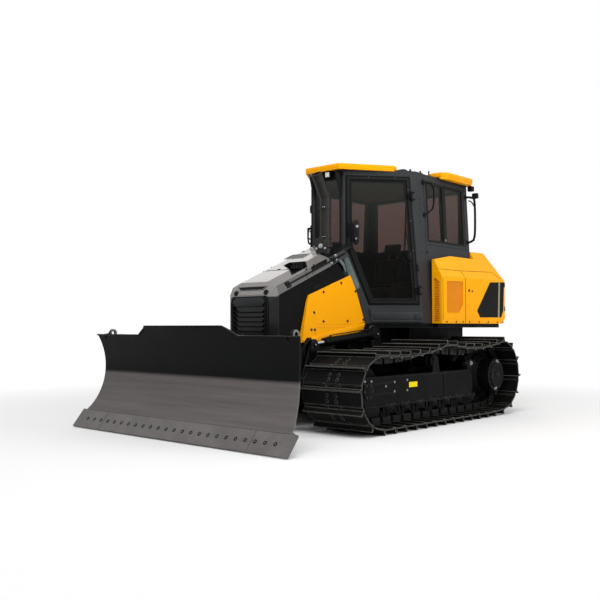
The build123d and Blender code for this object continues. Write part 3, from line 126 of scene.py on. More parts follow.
class Shape:
    """A mesh built up from bmesh shapes, in metres. Each takes a paint: the number of a coat."""

    def __init__(self):
        self.bm = bmesh.new()

    def soften(self, verts, size, paint, segments=2):
        """Paints what the vertices belong to and rounds its sharp edges."""
        for face in faces_of(verts):
            face.material_index = paint
        if size:
            edges = [e for e in {e for v in verts for e in v.link_edges} if e.calc_face_angle(0) > 0.6]
            bmesh.ops.bevel(self.bm, geom=edges, affect="EDGES", offset=size, segments=segments, profile=0.5,
                            material=-1, clamp_overlap=True)

    def block(self, low, high, size=0.003, paint=0, turn=Matrix(), place=Matrix(), segments=2):
        """A block between two corners of a placing, which may be turned about its middle."""
        low, high = Vector(low), Vector(high)
        spot = place @ Matrix.Translation((low + high) / 2) @ turn
        made = bmesh.ops.create_cube(self.bm, size=1.0, matrix=spot @ Matrix.Diagonal((*(high - low), 1)))
        self.soften(made["verts"], size, paint, segments)

    def blocks(self, rows, size=0.003, paint=0):
        """Blocks, each from the six numbers of its two corners."""
        for row in rows:
            self.block(row[:3], row[3:], size, paint)

    def box_round(self, middle, half, size, paint=0):
        """A block round its middle."""
        self.block(middle - Vector(half), middle + Vector(half), size, paint)

    def thicken(self, faces, verts, place, thick, size, paint):
        """Places a flat face set and makes it thick along the placing's Z."""
        top = corners_of(bmesh.ops.extrude_face_region(self.bm, geom=faces))
        bmesh.ops.translate(self.bm, vec=(0, 0, thick), verts=top)
        verts = verts + top
        bmesh.ops.transform(self.bm, matrix=place, verts=verts)
        bmesh.ops.recalc_face_normals(self.bm, faces=list(faces_of(verts)))
        self.soften(verts, size, paint)

    def plate(self, outline, place, thick, size=0.002, paint=0):
        """A flat outline, given in the placing's own X and Y, made thick."""
        verts = [self.bm.verts.new((*p, 0)) for p in outline]
        self.thicken([self.bm.faces.new(verts)], verts, place, thick, size, paint)

    def ring(self, outer, inner, place, thick, size=0.002, paint=0):
        """A flat frame between two outlines with as many corners, made thick."""
        loops, verts = [], []
        for outline in (outer, inner):
            loop = [self.bm.verts.new((*p, 0)) for p in outline]
            loops += [self.bm.edges.new(pair) for pair in zip(loop, loop[1:] + loop[:1])]
            verts += loop
        self.thicken(bmesh.ops.bridge_loops(self.bm, edges=loops)["faces"], verts, place, thick, size, paint)

    def framed(self, outer, inner, place, rim, floor, size=0.002, floor_size=0, paint=1):
        """A rim round a plate of another paint."""
        self.ring(outer, inner, place, rim, size)
        self.plate(inner, place, floor, floor_size, paint)

    def bar(self, start, end, radius, tip=None, sides=20, size=0.0015, paint=0):
        """A round bar, which may taper to another radius at its tip."""
        start, end = Vector(start), Vector(end)
        made = bmesh.ops.create_cone(self.bm, cap_ends=True, segments=sides, radius1=radius,
                                     radius2=radius if tip is None else tip, depth=(end - start).length,
                                     matrix=facing((start + end) / 2, end - start))
        self.soften(made["verts"], size, paint)

    def wire(self, start, end, radius, paint=0, sides=6):
        """A thin bar with plain ends: a seam, a wire or a small pin."""
        self.bar(start, end, radius, sides=sides, size=0, paint=paint)

    def lathe(self, profile, start, axis=OUT, sides=32, paint=0):
        """A turned part: (along, radius) points spun about an axis."""
        verts = [self.bm.verts.new((radius, 0, along)) for along, radius in profile]
        edges = [self.bm.edges.new(pair) for pair in zip(verts, verts[1:])]
        bmesh.ops.spin(self.bm, geom=verts + edges, cent=(0, 0, 0), axis=UP, angle=tau, steps=sides,
                       use_merge=True, use_duplicate=False)
        reached, grown = set(verts), list(verts)
        while grown:
            near = (v for g in grown for e in g.link_edges for v in e.verts if v not in reached)
            grown = list(dict.fromkeys(near))
            reached.update(grown)
        reached = list(reached)
        bmesh.ops.transform(self.bm, matrix=facing(start, axis), verts=reached)
        bmesh.ops.remove_doubles(self.bm, verts=reached, dist=1e-5)
        faces = faces_of(v for v in reached if v.is_valid)
        bmesh.ops.recalc_face_normals(self.bm, faces=list(faces))
        for face in faces:
            face.material_index = paint

    def pipe(self, points, radius, bend=0.03, paint=0, sides=3):
        """A round tube along straight runs, with each corner turned over a bend."""
        points = [Vector(p) for p in points]
        route = [points[0]]
        for before, corner, after in zip(points, points[1:], points[2:]):
            for run in (before - corner, after - corner):
                route.append(corner + run.normalized() * min(bend, run.length * 0.49))
        route.append(points[-1])
        line = bpy.data.curves.new("route", "CURVE")
        line.dimensions = "3D"
        line.bevel_depth = radius
        line.bevel_resolution = sides
        line.use_fill_caps = True
        line.resolution_u = 5
        spline = line.splines.new("NURBS")
        spline.points.add(len(route) - 1)
        for knot, place in zip(spline.points, route):
            knot.co = (*place, 1)
        spline.order_u = 3
        spline.use_endpoint_u = True
        holder = bpy.data.objects.new("route", line)
        mesh = bpy.data.meshes.new_from_object(holder)
        for face in faces_of(self.join(mesh)):
            face.material_index = paint
        bpy.data.objects.remove(holder)
        bpy.data.curves.remove(line)
        bpy.data.meshes.remove(mesh)

    def join(self, mesh, place=Matrix()):
        """Adds a finished mesh at a place and gives its vertices."""
        before = len(self.bm.verts)
        self.bm.from_mesh(mesh)
        self.bm.verts.ensure_lookup_table()
        verts = self.bm.verts[before:]
        bmesh.ops.transform(self.bm, matrix=place, verts=verts)
        return verts

    def bolt(self, at, normal=OUT, across=0.024, paint=0):
        """A hexagon bolt's head on its washer."""
        at, normal = Vector(at), Vector(normal).normalized()
        lift = across * 0.12
        self.wire(at - normal * 0.002, at + normal * lift, across * 0.85, paint, sides=14)
        self.bar(at, at + normal * (lift + across * 0.45), across * 0.58, across * 0.5, sides=6, size=0,
                 paint=paint)

    def bolts(self, spots, normal, across, paint):
        """Bolts of one kind."""
        for spot in spots:
            self.bolt(spot, normal, across, paint)

    def bolt_circle(self, centre, radius, count, across, paint, turn=0.0):
        """Bolts round a centre on the side; the turn is in bolts."""
        for i in range(count):
            angle = tau * (i + turn) / count
            self.bolt(Vector(centre) + Vector((0, cos(angle), sin(angle))) * radius, OUT, across, paint)

    def flip(self, verts=None, faces=None):
        """Turns the shape, or a part of it, into its mirror image."""
        bmesh.ops.scale(self.bm, vec=(-1, 1, 1), verts=verts or self.bm.verts[:])
        bmesh.ops.reverse_faces(self.bm, faces=faces or self.bm.faces[:])

    def mirror(self):
        """Adds the mirror image on the machine's right."""
        made = bmesh.ops.duplicate(self.bm, geom=self.bm.verts[:] + self.bm.edges[:] + self.bm.faces[:])
        self.flip(corners_of(made), [g for g in made["geom"] if isinstance(g, bmesh.types.BMFace)])

    def mesh(self, name, coats=(), sharp=35, shift=0.0):
        """Ends the shape as a mesh, moved along Y, whose edges over an angle stay sharp."""
        bmesh.ops.translate(self.bm, vec=AFT * shift, verts=self.bm.verts[:])
        mesh = bpy.data.meshes.new(name)
        self.bm.to_mesh(mesh)
        self.bm.free()
        for key in coats:
            mesh.materials.append(coat(key))
        mesh.shade_smooth()
        mesh.set_sharp_from_angle(angle=radians(sharp))
        return mesh

    def piece(self, name, body, *coats, stands_for=(), slot=None):
        """Ends the shape as a piece that rides on a body."""
        obj = placed(name, self.mesh(name, coats, shift=TRACK_Y))
        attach(obj, body)
        if stands_for:
            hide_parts(*stands_for)


def placed(name, data):
    """An object in the scene, at the origin."""
    obj = bpy.data.objects.new(name, data)
    bpy.context.scene.collection.objects.link(obj)
    return obj


# ---------------------------------------------------------------- materials
def node(tree, kind, inputs=None, **settings):
    """Adds a node with its settings, and its inputs as values or as the sockets that feed them."""
    made = tree.nodes.new(kind)
    for key, value in settings.items():
        setattr(made, key, value)
    for key, value in (inputs or {}).items():
        if isinstance(value, bpy.types.NodeSocket):
            tree.links.new(value, made.inputs[key])
        else:
            made.inputs[key].default_value = value
    return made


def maths(tree, operation, a, b=0.0, **settings):
    """What a math node makes of two values or sockets."""
    return node(tree, "ShaderNodeMath", {0: a, 1: b}, operation=operation, **settings).outputs[0]


def ramp(tree, value, low, high, start=0.0, end=1.0):
    """A value taken from one range to another."""
    return node(tree, "ShaderNodeMapRange", {"Value": value, "From Min": low, "From Max": high,
                                             "To Min": start, "To Max": end}).outputs[0]


def noise(tree, place, scale, detail, rough=0.5):
    """Cloudy noise over a place."""
    return node(tree, "ShaderNodeTexNoise", {"Vector": place, "Scale": scale, "Detail": detail,
                                             "Roughness": rough}).outputs["Fac"]


def mixed(tree, share, a, b):
    """A colour between two, each a socket or a hex code."""
    a, b = (linear(c) if isinstance(c, str) else c for c in (a, b))
    return node(tree, "ShaderNodeMix", {"Factor": share, "A": a, "B": b}, data_type="RGBA").outputs["Result"]


def parts(tree, vector):
    """The X, Y and Z of a vector."""
    return node(tree, "ShaderNodeSeparateXYZ", {"Vector": vector}).outputs


def object_place(tree):
    """The place of a point in the object's own metres."""
    return node(tree, "ShaderNodeTexCoord").outputs["Object"]


def cleared(owner):
    """An owner's node tree, emptied."""
    owner.use_nodes = True
    owner.node_tree.nodes.clear()
    return owner.node_tree


def blank(name):
    """A new node material with its tree and principled shader."""
    made = bpy.data.materials.new(name)
    tree = cleared(made)
    shader = node(tree, "ShaderNodeBsdfPrincipled")
    node(tree, "ShaderNodeOutputMaterial", {"Surface": shader.outputs[0]})
    return made, tree, shader


def feed(tree, shader, **inputs):
    """Sets a shader's inputs, named with _ for a space, from values or sockets."""
    for key, value in inputs.items():
        socket = shader.inputs[key.replace("_", " ")]
        if isinstance(value, bpy.types.NodeSocket):
            tree.links.new(value, socket)
        else:
            socket.default_value = value


def surface(name, colour, tone, smooth, dull, grain, bump, mottle, edge, share=0.5, metal=0.0, worn=None,
            wear=0.5, dust=0.0, shine=0.0, level=0.5):
    """A made surface: its colour drifts to a second tone over mottle millimetres, its grain is so many
    millimetres wide, its edges are rounded over an edge radius and wear to a bare colour, and dust
    gathers on it near the ground. Shine is a clear coat, level the base's specular level."""
    made, tree, shader = blank(name)
    place = object_place(tree)
    clouds = noise(tree, place, 1000 / mottle, 5.0, 0.6)
    top = mixed(tree, ramp(tree, clouds, 0.3, 0.7, end=share), colour, tone)
    rounded = node(tree, "ShaderNodeBevel", {"Radius": edge / 1000}, samples=4).outputs[0]
    if worn:
        flat = node(tree, "ShaderNodeNewGeometry").outputs["Normal"]
        turn = node(tree, "ShaderNodeVectorMath", {0: rounded, 1: flat}, operation="DOT_PRODUCT")
        bare = maths(tree, "MULTIPLY", ramp(tree, turn.outputs["Value"], 0.995, 0.90, end=wear * 2),
                     noise(tree, place, 28.0, 6.0, 0.75), use_clamp=True)
        top = mixed(tree, bare, top, worn)
    if dust:
        cover = maths(tree, "MULTIPLY", ramp(tree, parts(tree, place)["Z"], 1.1, 0.0, end=dust),
                      noise(tree, place, 9.0, 8.0, 0.7), use_clamp=True)
        top = mixed(tree, cover, top, "#6E655A")
    relief = node(tree, "ShaderNodeBump", {"Strength": bump, "Distance": grain / 1000, "Normal": rounded,
                                           "Height": noise(tree, place, 1000 / grain, 2.0)})
    feed(tree, shader, Base_Color=top, Roughness=ramp(tree, clouds, 0.3, 0.7, smooth, dull),
         Normal=relief.outputs[0], Metallic=metal, Coat_Weight=shine, Coat_Roughness=0.12,
         Specular_IOR_Level=level)
    return made


def recoloured(made, colours):
    """A made surface with its colour passed through colours(tree, place, old colour)."""
    tree = made.node_tree
    shader = next(n for n in tree.nodes if n.type == "BSDF_PRINCIPLED")
    old = shader.inputs["Base Color"].links[0].from_socket
    feed(tree, shader, Base_Color=colours(tree, object_place(tree), old))
    return made


def blade_enamel_and_sky_reflection(name):
    """Black enamel on a rolled steel moldboard whose lower front is painted warm grey: partly bare steel
    worn by the soil, partly a painted reflection of the sky on the upturned face. The border is a soft
    line at half height, and faint streaks run along the blade."""
    def scour_and_painted_reflection(tree, place, old):
        apart = parts(tree, place)
        long = node(tree, "ShaderNodeMapping", {"Vector": place, "Scale": (0.35, 1.0, 9.0)}).outputs[0]
        streak = noise(tree, long, 2.2, 6.0, 0.65)
        wander = maths(tree, "ADD", apart["Z"], maths(tree, "MULTIPLY", streak, 0.03))
        front = ramp(tree, apart["Y"], TRACK_Y - 2.50, TRACK_Y - 2.515)
        # painted reflection together with worn steel: the lower front goes warm grey
        scour_and_reflection_share = maths(tree, "MULTIPLY", ramp(tree, wander, 0.600, 0.635, 1.0, 0.0), front)
        return mixed(tree, scour_and_reflection_share, old, mixed(tree, streak, "#4C4848", "#75706E"))

    return recoloured(surface(name, "#0A0B0C", "#0F1011", 0.36, 0.48, 1.2, 0.12, 500, 3.0, worn="#6A6664",
                              level=0.07), scour_and_painted_reflection)


def two_tone_and_painted_sheen(name, painted_sheen_tone, border):
    """Warm grey hood enamel with painted light: the faces that look up or forward are painted a lighter
    sheen tone as if lit by the sky, and the bevels are left darker as if in shade. It is black below a
    border height and on the left rear corner beside the exhaust."""
    def tones_and_painted_sheen(tree, place, old):
        apart = parts(tree, place)
        facets = node(tree, "ShaderNodeNewGeometry").outputs["True Normal"]
        turned = node(tree, "ShaderNodeVectorTransform", {"Vector": facets}, vector_type="NORMAL",
                      convert_from="WORLD", convert_to="OBJECT").outputs[0]
        across = maths(tree, "ABSOLUTE", parts(tree, turned)["X"])
        # painted light: faces that look up or forward take the lighter sheen tone, the bevels keep the darker
        # base
        top = mixed(tree, ramp(tree, across, 0.5, 0.45), old, painted_sheen_tone)
        under = ramp(tree, apart["Z"], border + 0.002, border - 0.002)
        corner = maths(tree, "MULTIPLY", maths(tree, "GREATER_THAN", apart["Y"], TRACK_Y - 0.86),
                       maths(tree, "GREATER_THAN", apart["X"], 0.10))
        black = maths(tree, "MAXIMUM", maths(tree, "MAXIMUM", under, ramp(tree, across, 0.93, 0.96)), corner)
        return mixed(tree, black, top, "#0D0E0F")

    return recoloured(surface(name, "#565453", "#565453", 0.25, 0.34, 2.5, 0.04, 600, 6.0, worn="#A8A4A0",
                              wear=0.25, shine=0.27, level=0.35), tones_and_painted_sheen)


def glass(name):
    """Laminated safety glass with a body tint: mostly see-through, a mirror at a grazing look, and with a
    faint painted sheen that glows from the glass itself, stronger towards the roof."""
    made = bpy.data.materials.new(name)
    tree = cleared(made)
    place = object_place(tree)
    haze = ramp(tree, noise(tree, place, 3.0, 4.0), 0.35, 0.7, 0.02, 0.07)
    shader = node(tree, "ShaderNodeBsdfPrincipled", {"Base Color": linear("#2A2827"), "IOR": 1.5,
                                                     "Roughness": haze})
    through = node(tree, "ShaderNodeBsdfTransparent", {"Color": linear("#BFB4B1")})
    facets = node(tree, "ShaderNodeNewGeometry")
    near = maths(tree, "SUBTRACT", 1.0, facets.outputs["Backfacing"])
    # painted sheen: a faint glow on the glass's outer face, rising with height
    painted_sheen_strength = maths(tree, "MULTIPLY", ramp(tree, parts(tree, place)["Z"], 1.9, 2.8, 0.003, 0.026), near)
    painted_sheen_glow = node(tree, "ShaderNodeEmission", {"Color": linear("#EFFFF6"), "Strength": painted_sheen_strength})
    gleam = node(tree, "ShaderNodeFresnel", {"IOR": 1.45}).outputs[0]
    solid = maths(tree, "MULTIPLY", maths(tree, "ADD", gleam, 0.04), near, use_clamp=True)
    mix = node(tree, "ShaderNodeMixShader", {0: solid, 1: through.outputs[0], 2: shader.outputs[0]})
    glass_and_painted_sheen = node(tree, "ShaderNodeAddShader", {0: mix.outputs[0], 1: painted_sheen_glow.outputs[0]})
    node(tree, "ShaderNodeOutputMaterial", {"Surface": glass_and_painted_sheen.outputs[0]})
    return made


def woven(name):
    """Polyester seat cloth in a plain weave: threads 1.5 mm apart, drawn at 4 mm so that they show, with
    the soft sheen that fibre ends give."""
    made, tree, shader = blank(name)
    place = object_place(tree)
    lines = [node(tree, "ShaderNodeTexWave", {"Vector": place, "Scale": 80.0, "Distortion": 0.4},
                  wave_type="BANDS", bands_direction=axis).outputs["Fac"] for axis in ("X", "Z")]
    weave = maths(tree, "MULTIPLY", *lines)
    clouds = noise(tree, place, 6.0, 4.0)
    shade = maths(tree, "ADD", weave, clouds, use_clamp=True)
    relief = node(tree, "ShaderNodeBump", {"Strength": 0.4, "Distance": 0.001, "Height": weave})
    feed(tree, shader, Base_Color=mixed(tree, shade, "#191A1C", "#2C2E31"), Normal=relief.outputs[0],
         Roughness=ramp(tree, clouds, 0.0, 1.0, 0.8, 0.95), Sheen_Weight=0.4, Sheen_Roughness=0.5)
    return made


# What each surface is, how it was made, and what that gives the eye. The columns are its colour and
# second tone, least and most roughness, grain in mm, bump, mottle in mm, edge radius in mm, and the rest.
SURFACES = {
    # machine enamel sprayed over steel: even, warm, a faint peel of a millimetre or two, satin gloss
    "yellow_enamel": ("#FCAA00", "#F6A200", 0.30, 0.40, 2.5, 0.05, 700, 5.0,
                      dict(worn="#F9C65A", wear=0.3, level=0.08)),
    # screen-printed enamel on a small tin plate, lemon yellow and flat
    "lemon_enamel": ("#FFE400", "#F8DC00", 0.35, 0.45, 2.0, 0.03, 80, 1.0, dict(level=0.1)),
    # pale olive enamel of a plain stripe, sprayed and flat
    "olive_enamel": ("#8E8A62", "#97936C", 0.4, 0.5, 2.5, 0.05, 300, 1.0, {}),
    # the machine enamel in black on fittings and panels, darker and calmer
    "black_enamel": ("#08090A", "#0D0E0F", 0.3, 0.45, 2.0, 0.08, 300, 3.5,
                     dict(worn="#3E4041", wear=0.4, level=0.08)),
    # powder coat on the cab's pressed and welded tubes: charcoal with a fine orange peel
    "cab_powder_coat": ("#26292B", "#2E3134", 0.4, 0.52, 1.8, 0.12, 400, 6.0,
                        dict(worn="#4F5255", wear=0.35, level=0.25)),
    # chassis black on castings and weldments near the ground, with dry dust in it
    "chassis_black": ("#08090A", "#0E0F10", 0.4, 0.6, 1.5, 0.25, 180, 7.0,
                      dict(worn="#5C5E5F", wear=0.7, dust=0.02, level=0.06)),
    # rolled track shoes, painted once and scraped: dark steel with brighter grouser tips
    "shoe_steel": ("#060707", "#0E0F0F", 0.38, 0.58, 3.0, 0.3, 120, 8.0,
                   dict(share=0.8, worn="#8A8A86", wear=1.0, dust=0.03, level=0.08)),
    # forged links and bushings, oily and near black
    "link_iron": ("#0A0B0B", "#131414", 0.4, 0.6, 3.0, 0.3, 90, 3.0,
                  dict(worn="#3E3E3C", dust=0.05, level=0.25)),
    # rolled carbon steel cutting edge, scoured by soil to a warm grey
    "edge_steel": ("#595555", "#716D6C", 0.38, 0.55, 1.0, 0.12, 260, 3.0,
                   dict(share=0.9, worn="#8E8986", wear=0.35, level=0.3)),
    # zinc plated bolts: pale, dull metal
    "zinc_plate": ("#B9BBBC", "#8E9092", 0.3, 0.5, 0.8, 0.1, 20, 1.0, dict(metal=0.7)),
    # forged lifting eye, rubbed bright by the slings: mid grey
    "worn_iron": ("#6C6C6A", "#8A8A87", 0.4, 0.55, 1.0, 0.2, 30, 1.5, dict(level=0.3)),
    # blackened bolts, a dark oil finish
    "black_oxide": ("#121314", "#1E1F20", 0.35, 0.5, 0.8, 0.1, 20, 1.0, dict(level=0.4)),
    # hard chrome on the cylinder rods, ground and polished
    "hard_chrome": ("#D9DADC", "#C4C6C9", 0.08, 0.16, 0.6, 0.02, 120, 1.0, dict(metal=1.0)),
    # cast iron engine block, sand cast and painted dark
    "cast_iron": ("#2A2B2B", "#1F2020", 0.6, 0.8, 2.5, 0.5, 80, 5.0, {}),
    # ABS trim, moulded with a fine leather grain
    "abs_plastic": ("#0F1011", "#161718", 0.48, 0.6, 1.6, 0.35, 200, 2.0, dict(level=0.15)),
    # EPDM gasket rubber, extruded: dull and nearly black
    "gasket_rubber": ("#0C0D0D", "#141515", 0.7, 0.85, 0.8, 0.15, 60, 1.5, dict(level=0.25)),
    # PVC dash and trim inside the cab, mid grey so that it shows through the glass
    "trim_grey": ("#3A3A3B", "#454546", 0.55, 0.7, 1.6, 0.3, 150, 3.0, {}),
    # needled polyester felt under the roof: pale, matt and soft
    "liner_felt": ("#C4C1B4", "#B4B1A5", 0.85, 0.95, 2.5, 0.4, 120, 3.0, dict(level=0.1)),
    # expanded steel mesh behind the body's openings, a deeper yellow that is painted shade
    "yellow_mesh_painted_shade": ("#F09E00", "#DE9000", 0.4, 0.55, 2.0, 0.1, 200, 1.0, {}),
    # steel exhaust, heat blackened
    "stack_steel": ("#1A1918", "#2A2725", 0.42, 0.58, 1.6, 0.2, 150, 2.0,
                    dict(worn="#55504B", wear=0.4, level=0.25)),
    # bare aluminium of the radiator fins
    "fin_aluminium": ("#3C3D3E", "#2C2D2E", 0.4, 0.55, 1.0, 0.1, 60, 1.0, dict(metal=0.6)),
    # the quarter lights: an opaque grey-green surface whose colour is a painted reflection of glass
    "quarter_glass_painted_reflection": ("#6A7776", "#4E5958", 0.08, 0.15, 3.0, 0.02, 90, 1.0, dict(share=0.9)),
    # ribbed polycarbonate over a bright reflector: pale and glossy, with 6 mm ribs
    "lamp_glass": ("#E9EBEA", "#C9CDCE", 0.08, 0.16, 6.0, 0.5, 60, 1.5, dict(share=0.6, shine=1.0)),
}
# The surfaces that aren't even: each has its own function.
PATTERNED = {
    # warm charcoal enamel of the hood, sprayed and glossy, with painted light: the faces that look up
    # or forward are painted lighter, as if the sky lit its slope
    "hood_enamel_painted_sheen": lambda name: two_tone_and_painted_sheen(name, "#6E6A68", 0.0),
    # the same on the nose, whose lower part is black
    "nose_enamel_painted_sheen": lambda name: two_tone_and_painted_sheen(name, "#8A8684", 1.405),
    "blade_enamel_and_sky_reflection": blade_enamel_and_sky_reflection,
    "tinted_glass": glass,
    "seat_cloth": woven,
}
COATS = {}


def coat(name):
    """The named material, made the first time that something asks for it."""
    if name not in COATS:
        if name in PATTERNED:
            COATS[name] = PATTERNED[name](name)
        else:
            *columns, rest = SURFACES[name]
            COATS[name] = surface(name, *columns, **rest)
    return COATS[name]


# ---------------------------------------------------------------- the track's loop
TRACK_X = 0.98                  # the tracks' middle, from the machine's
SHOE_HALF = 0.38
PITCH = 0.19
LINK_HALF = 0.042               # half a chain link's height
SHOE_THICK = 0.012
GROUSER = 0.05
LINK_X = 0.0794                 # middle of a chain link, from the shoe's
PIN_HEIGHT = LINK_HALF + SHOE_THICK + GROUSER
IDLER = (-1.235, PIN_HEIGHT + 0.326, 0.326)         # station, height, radius of the chain's pins
SPROCKET = (1.28, 0.494, 0.38)
CARRIER = (0.06, 0.704, 0.08)
FLAT_END = 0.95


def round_wheel(wheel, start, stop, steps=24):
    """Points round a wheel from one angle to another, in degrees."""
    angles = [radians(start + (stop - start) * i / steps) for i in range(steps + 1)]
    return [(wheel[0] + wheel[2] * cos(a), wheel[1] + wheel[2] * sin(a)) for a in angles]


def slack(start, stop, depth, steps=16):
    """A sagging run of chain between two carried points."""
    shares = [i / steps for i in range(1, steps)]
    return [(start[0] + (stop[0] - start[0]) * s,
             start[1] + (stop[1] - start[1]) * s - 4 * depth * s * (1 - s)) for s in shares]


def chain_pins():
    """The chain's pins, evenly spaced round the loop, as (station, height)."""
    rise = atan2(SPROCKET[1] - SPROCKET[2] - PIN_HEIGHT, SPROCKET[0] - FLAT_END)
    rear = round_wheel(SPROCKET, -90 + degrees(rise), 84)
    front = round_wheel(IDLER, 92, 270)
    carried = (CARRIER[0], CARRIER[1] + CARRIER[2] + 0.026 + LINK_HALF)
    path = [(IDLER[0], PIN_HEIGHT), (FLAT_END, PIN_HEIGHT)] + rear + slack(rear[-1], carried, 0.074)
    path += [carried] + slack(carried, front[0], 0.062) + front
    lengths = [hypot(b[0] - a[0], b[1] - a[1]) for a, b in zip(path, path[1:])]
    count = round(sum(lengths) / PITCH)
    pins, walked, span = [], 0.0, 0
    for i in range(count):
        goal = sum(lengths) * i / count
        while walked + lengths[span] < goal:
            walked += lengths[span]
            span += 1
        share = (goal - walked) / lengths[span]
        (y0, z0), (y1, z1) = path[span], path[span + 1]
        pins.append((y0 + (y1 - y0) * share, z0 + (z1 - z0) * share))
    return pins


def shoe_mesh(length):
    """One track shoe with its grouser, bolts and pair of links: X across, Y along, Z out of the loop."""
    shoe = Shape()
    top = LINK_HALF + SHOE_THICK
    tip = top + GROUSER
    # the rolled section, from the leading lip over the grouser to the curved trailing lip
    section = [(0.006, LINK_HALF), (0.004, top - 0.003), (0.010, top + 0.006), (0.0135, tip - 0.003),
               (0.0165, tip), (0.0245, tip), (0.0275, tip - 0.003), (0.034, top + 0.008), (0.048, top),
               (length - 0.030, top), (length - 0.012, top - 0.003), (length - 0.003, top - 0.012),
               (length - 0.008, LINK_HALF - 0.004), (length - 0.034, LINK_HALF)]
    # the leading lip, which stays under the shoe before it round the wheels
    lip = [(-0.040, 0.026), (0.014, 0.034), (0.014, LINK_HALF), (0.006, LINK_HALF), (-0.004, 0.038),
           (-0.040, 0.030)]
    for outline in (section, lip):
        shoe.plate(outline, sideways(-SHOE_HALF), 2 * SHOE_HALF, size=0)
    for side in (-1, 1):
        shoe.bolts([(side * 0.058, y, top) for y in (0.082, 0.138)], UP, 0.022, 1)
        for inner, y0, y1 in ((0.018, -0.032, 0.115), (-0.004, 0.085, 0.222)):
            x = side * (LINK_X + inner)
            shoe.block((x - 0.011, y0, -0.036), (x + 0.011, y1, 0.040), size=0, paint=1)
    shoe.wire((-0.115, 0, 0), (0.115, 0, 0), 0.021, 1, sides=10)
    return shoe.mesh("shoe", ("shoe_steel", "link_iron"))


class DozerSizes(bpy.types.PropertyGroup):
    """Sizes of the fittings that a user may change."""

    edge_bolts: IntProperty(name="Edge bolts", description="Plough bolts along the cutting edge",
                            default=24, min=6, max=40)
    rail_radius: FloatProperty(name="Handrail", description="Radius of the rear handrail's tube",
                               default=0.015, min=0.008, max=0.03, unit="LENGTH")
    grille_bars: IntProperty(name="Grille bars", description="Bars in the hood's front grille",
                             default=7, min=3, max=12)
    louvres: IntProperty(name="Body louvres", description="Slats in the slot in front of each side pod",
                         default=22, min=6, max=40)


class DozerColours(bpy.types.PropertyGroup):
    """Colours of the studio round the machine."""

    floor: FloatVectorProperty(name="Floor", description="Colour of the studio floor", size=4,
                               subtype="COLOR", min=0, max=1, default=linear("#F4F4F4"))
    sky: FloatVectorProperty(name="Backdrop", description="Colour of the backdrop", size=4,
                             subtype="COLOR", min=0, max=1, default=linear("#FFFFFF"))


def sizes():
    """The sizes set in the scene."""
    return bpy.context.scene.dozer_sizes


class Step:
    """What every building step shares: it runs its own build."""

    def execute(self, context):
        self.build()
        return {"FINISHED"}


class DOZER_OT_tracks(Step, bpy.types.Operator):
    """Lay the shoes, links and pins round each track's loop"""

    bl_idname = "dozer.tracks"
    bl_label = "Tracks"

    def build(self):
        pins = chain_pins()
        template = shoe_mesh(hypot(pins[1][0] - pins[0][0], pins[1][1] - pins[0][1]))
        for word, x in (("left", TRACK_X), ("right", -TRACK_X)):
            loop = Shape()
            for a, b in zip(pins, pins[1:] + pins[:1]):
                along = Vector((0, b[0] - a[0], b[1] - a[1])).normalized()
                turn = axes(OUT, along, Vector((0, along.z, -along.y)))
                loop.join(template, Matrix.Translation((x, *a)) @ turn)
            bmesh.ops.recalc_face_normals(loop.bm, faces=loop.bm.faces[:])
            loop.piece(f"track_shoes_{word}", "machine", "shoe_steel", "link_iron",
                       stands_for=[f"track_{word}"], slot="track_steel")
        bpy.data.meshes.remove(template)


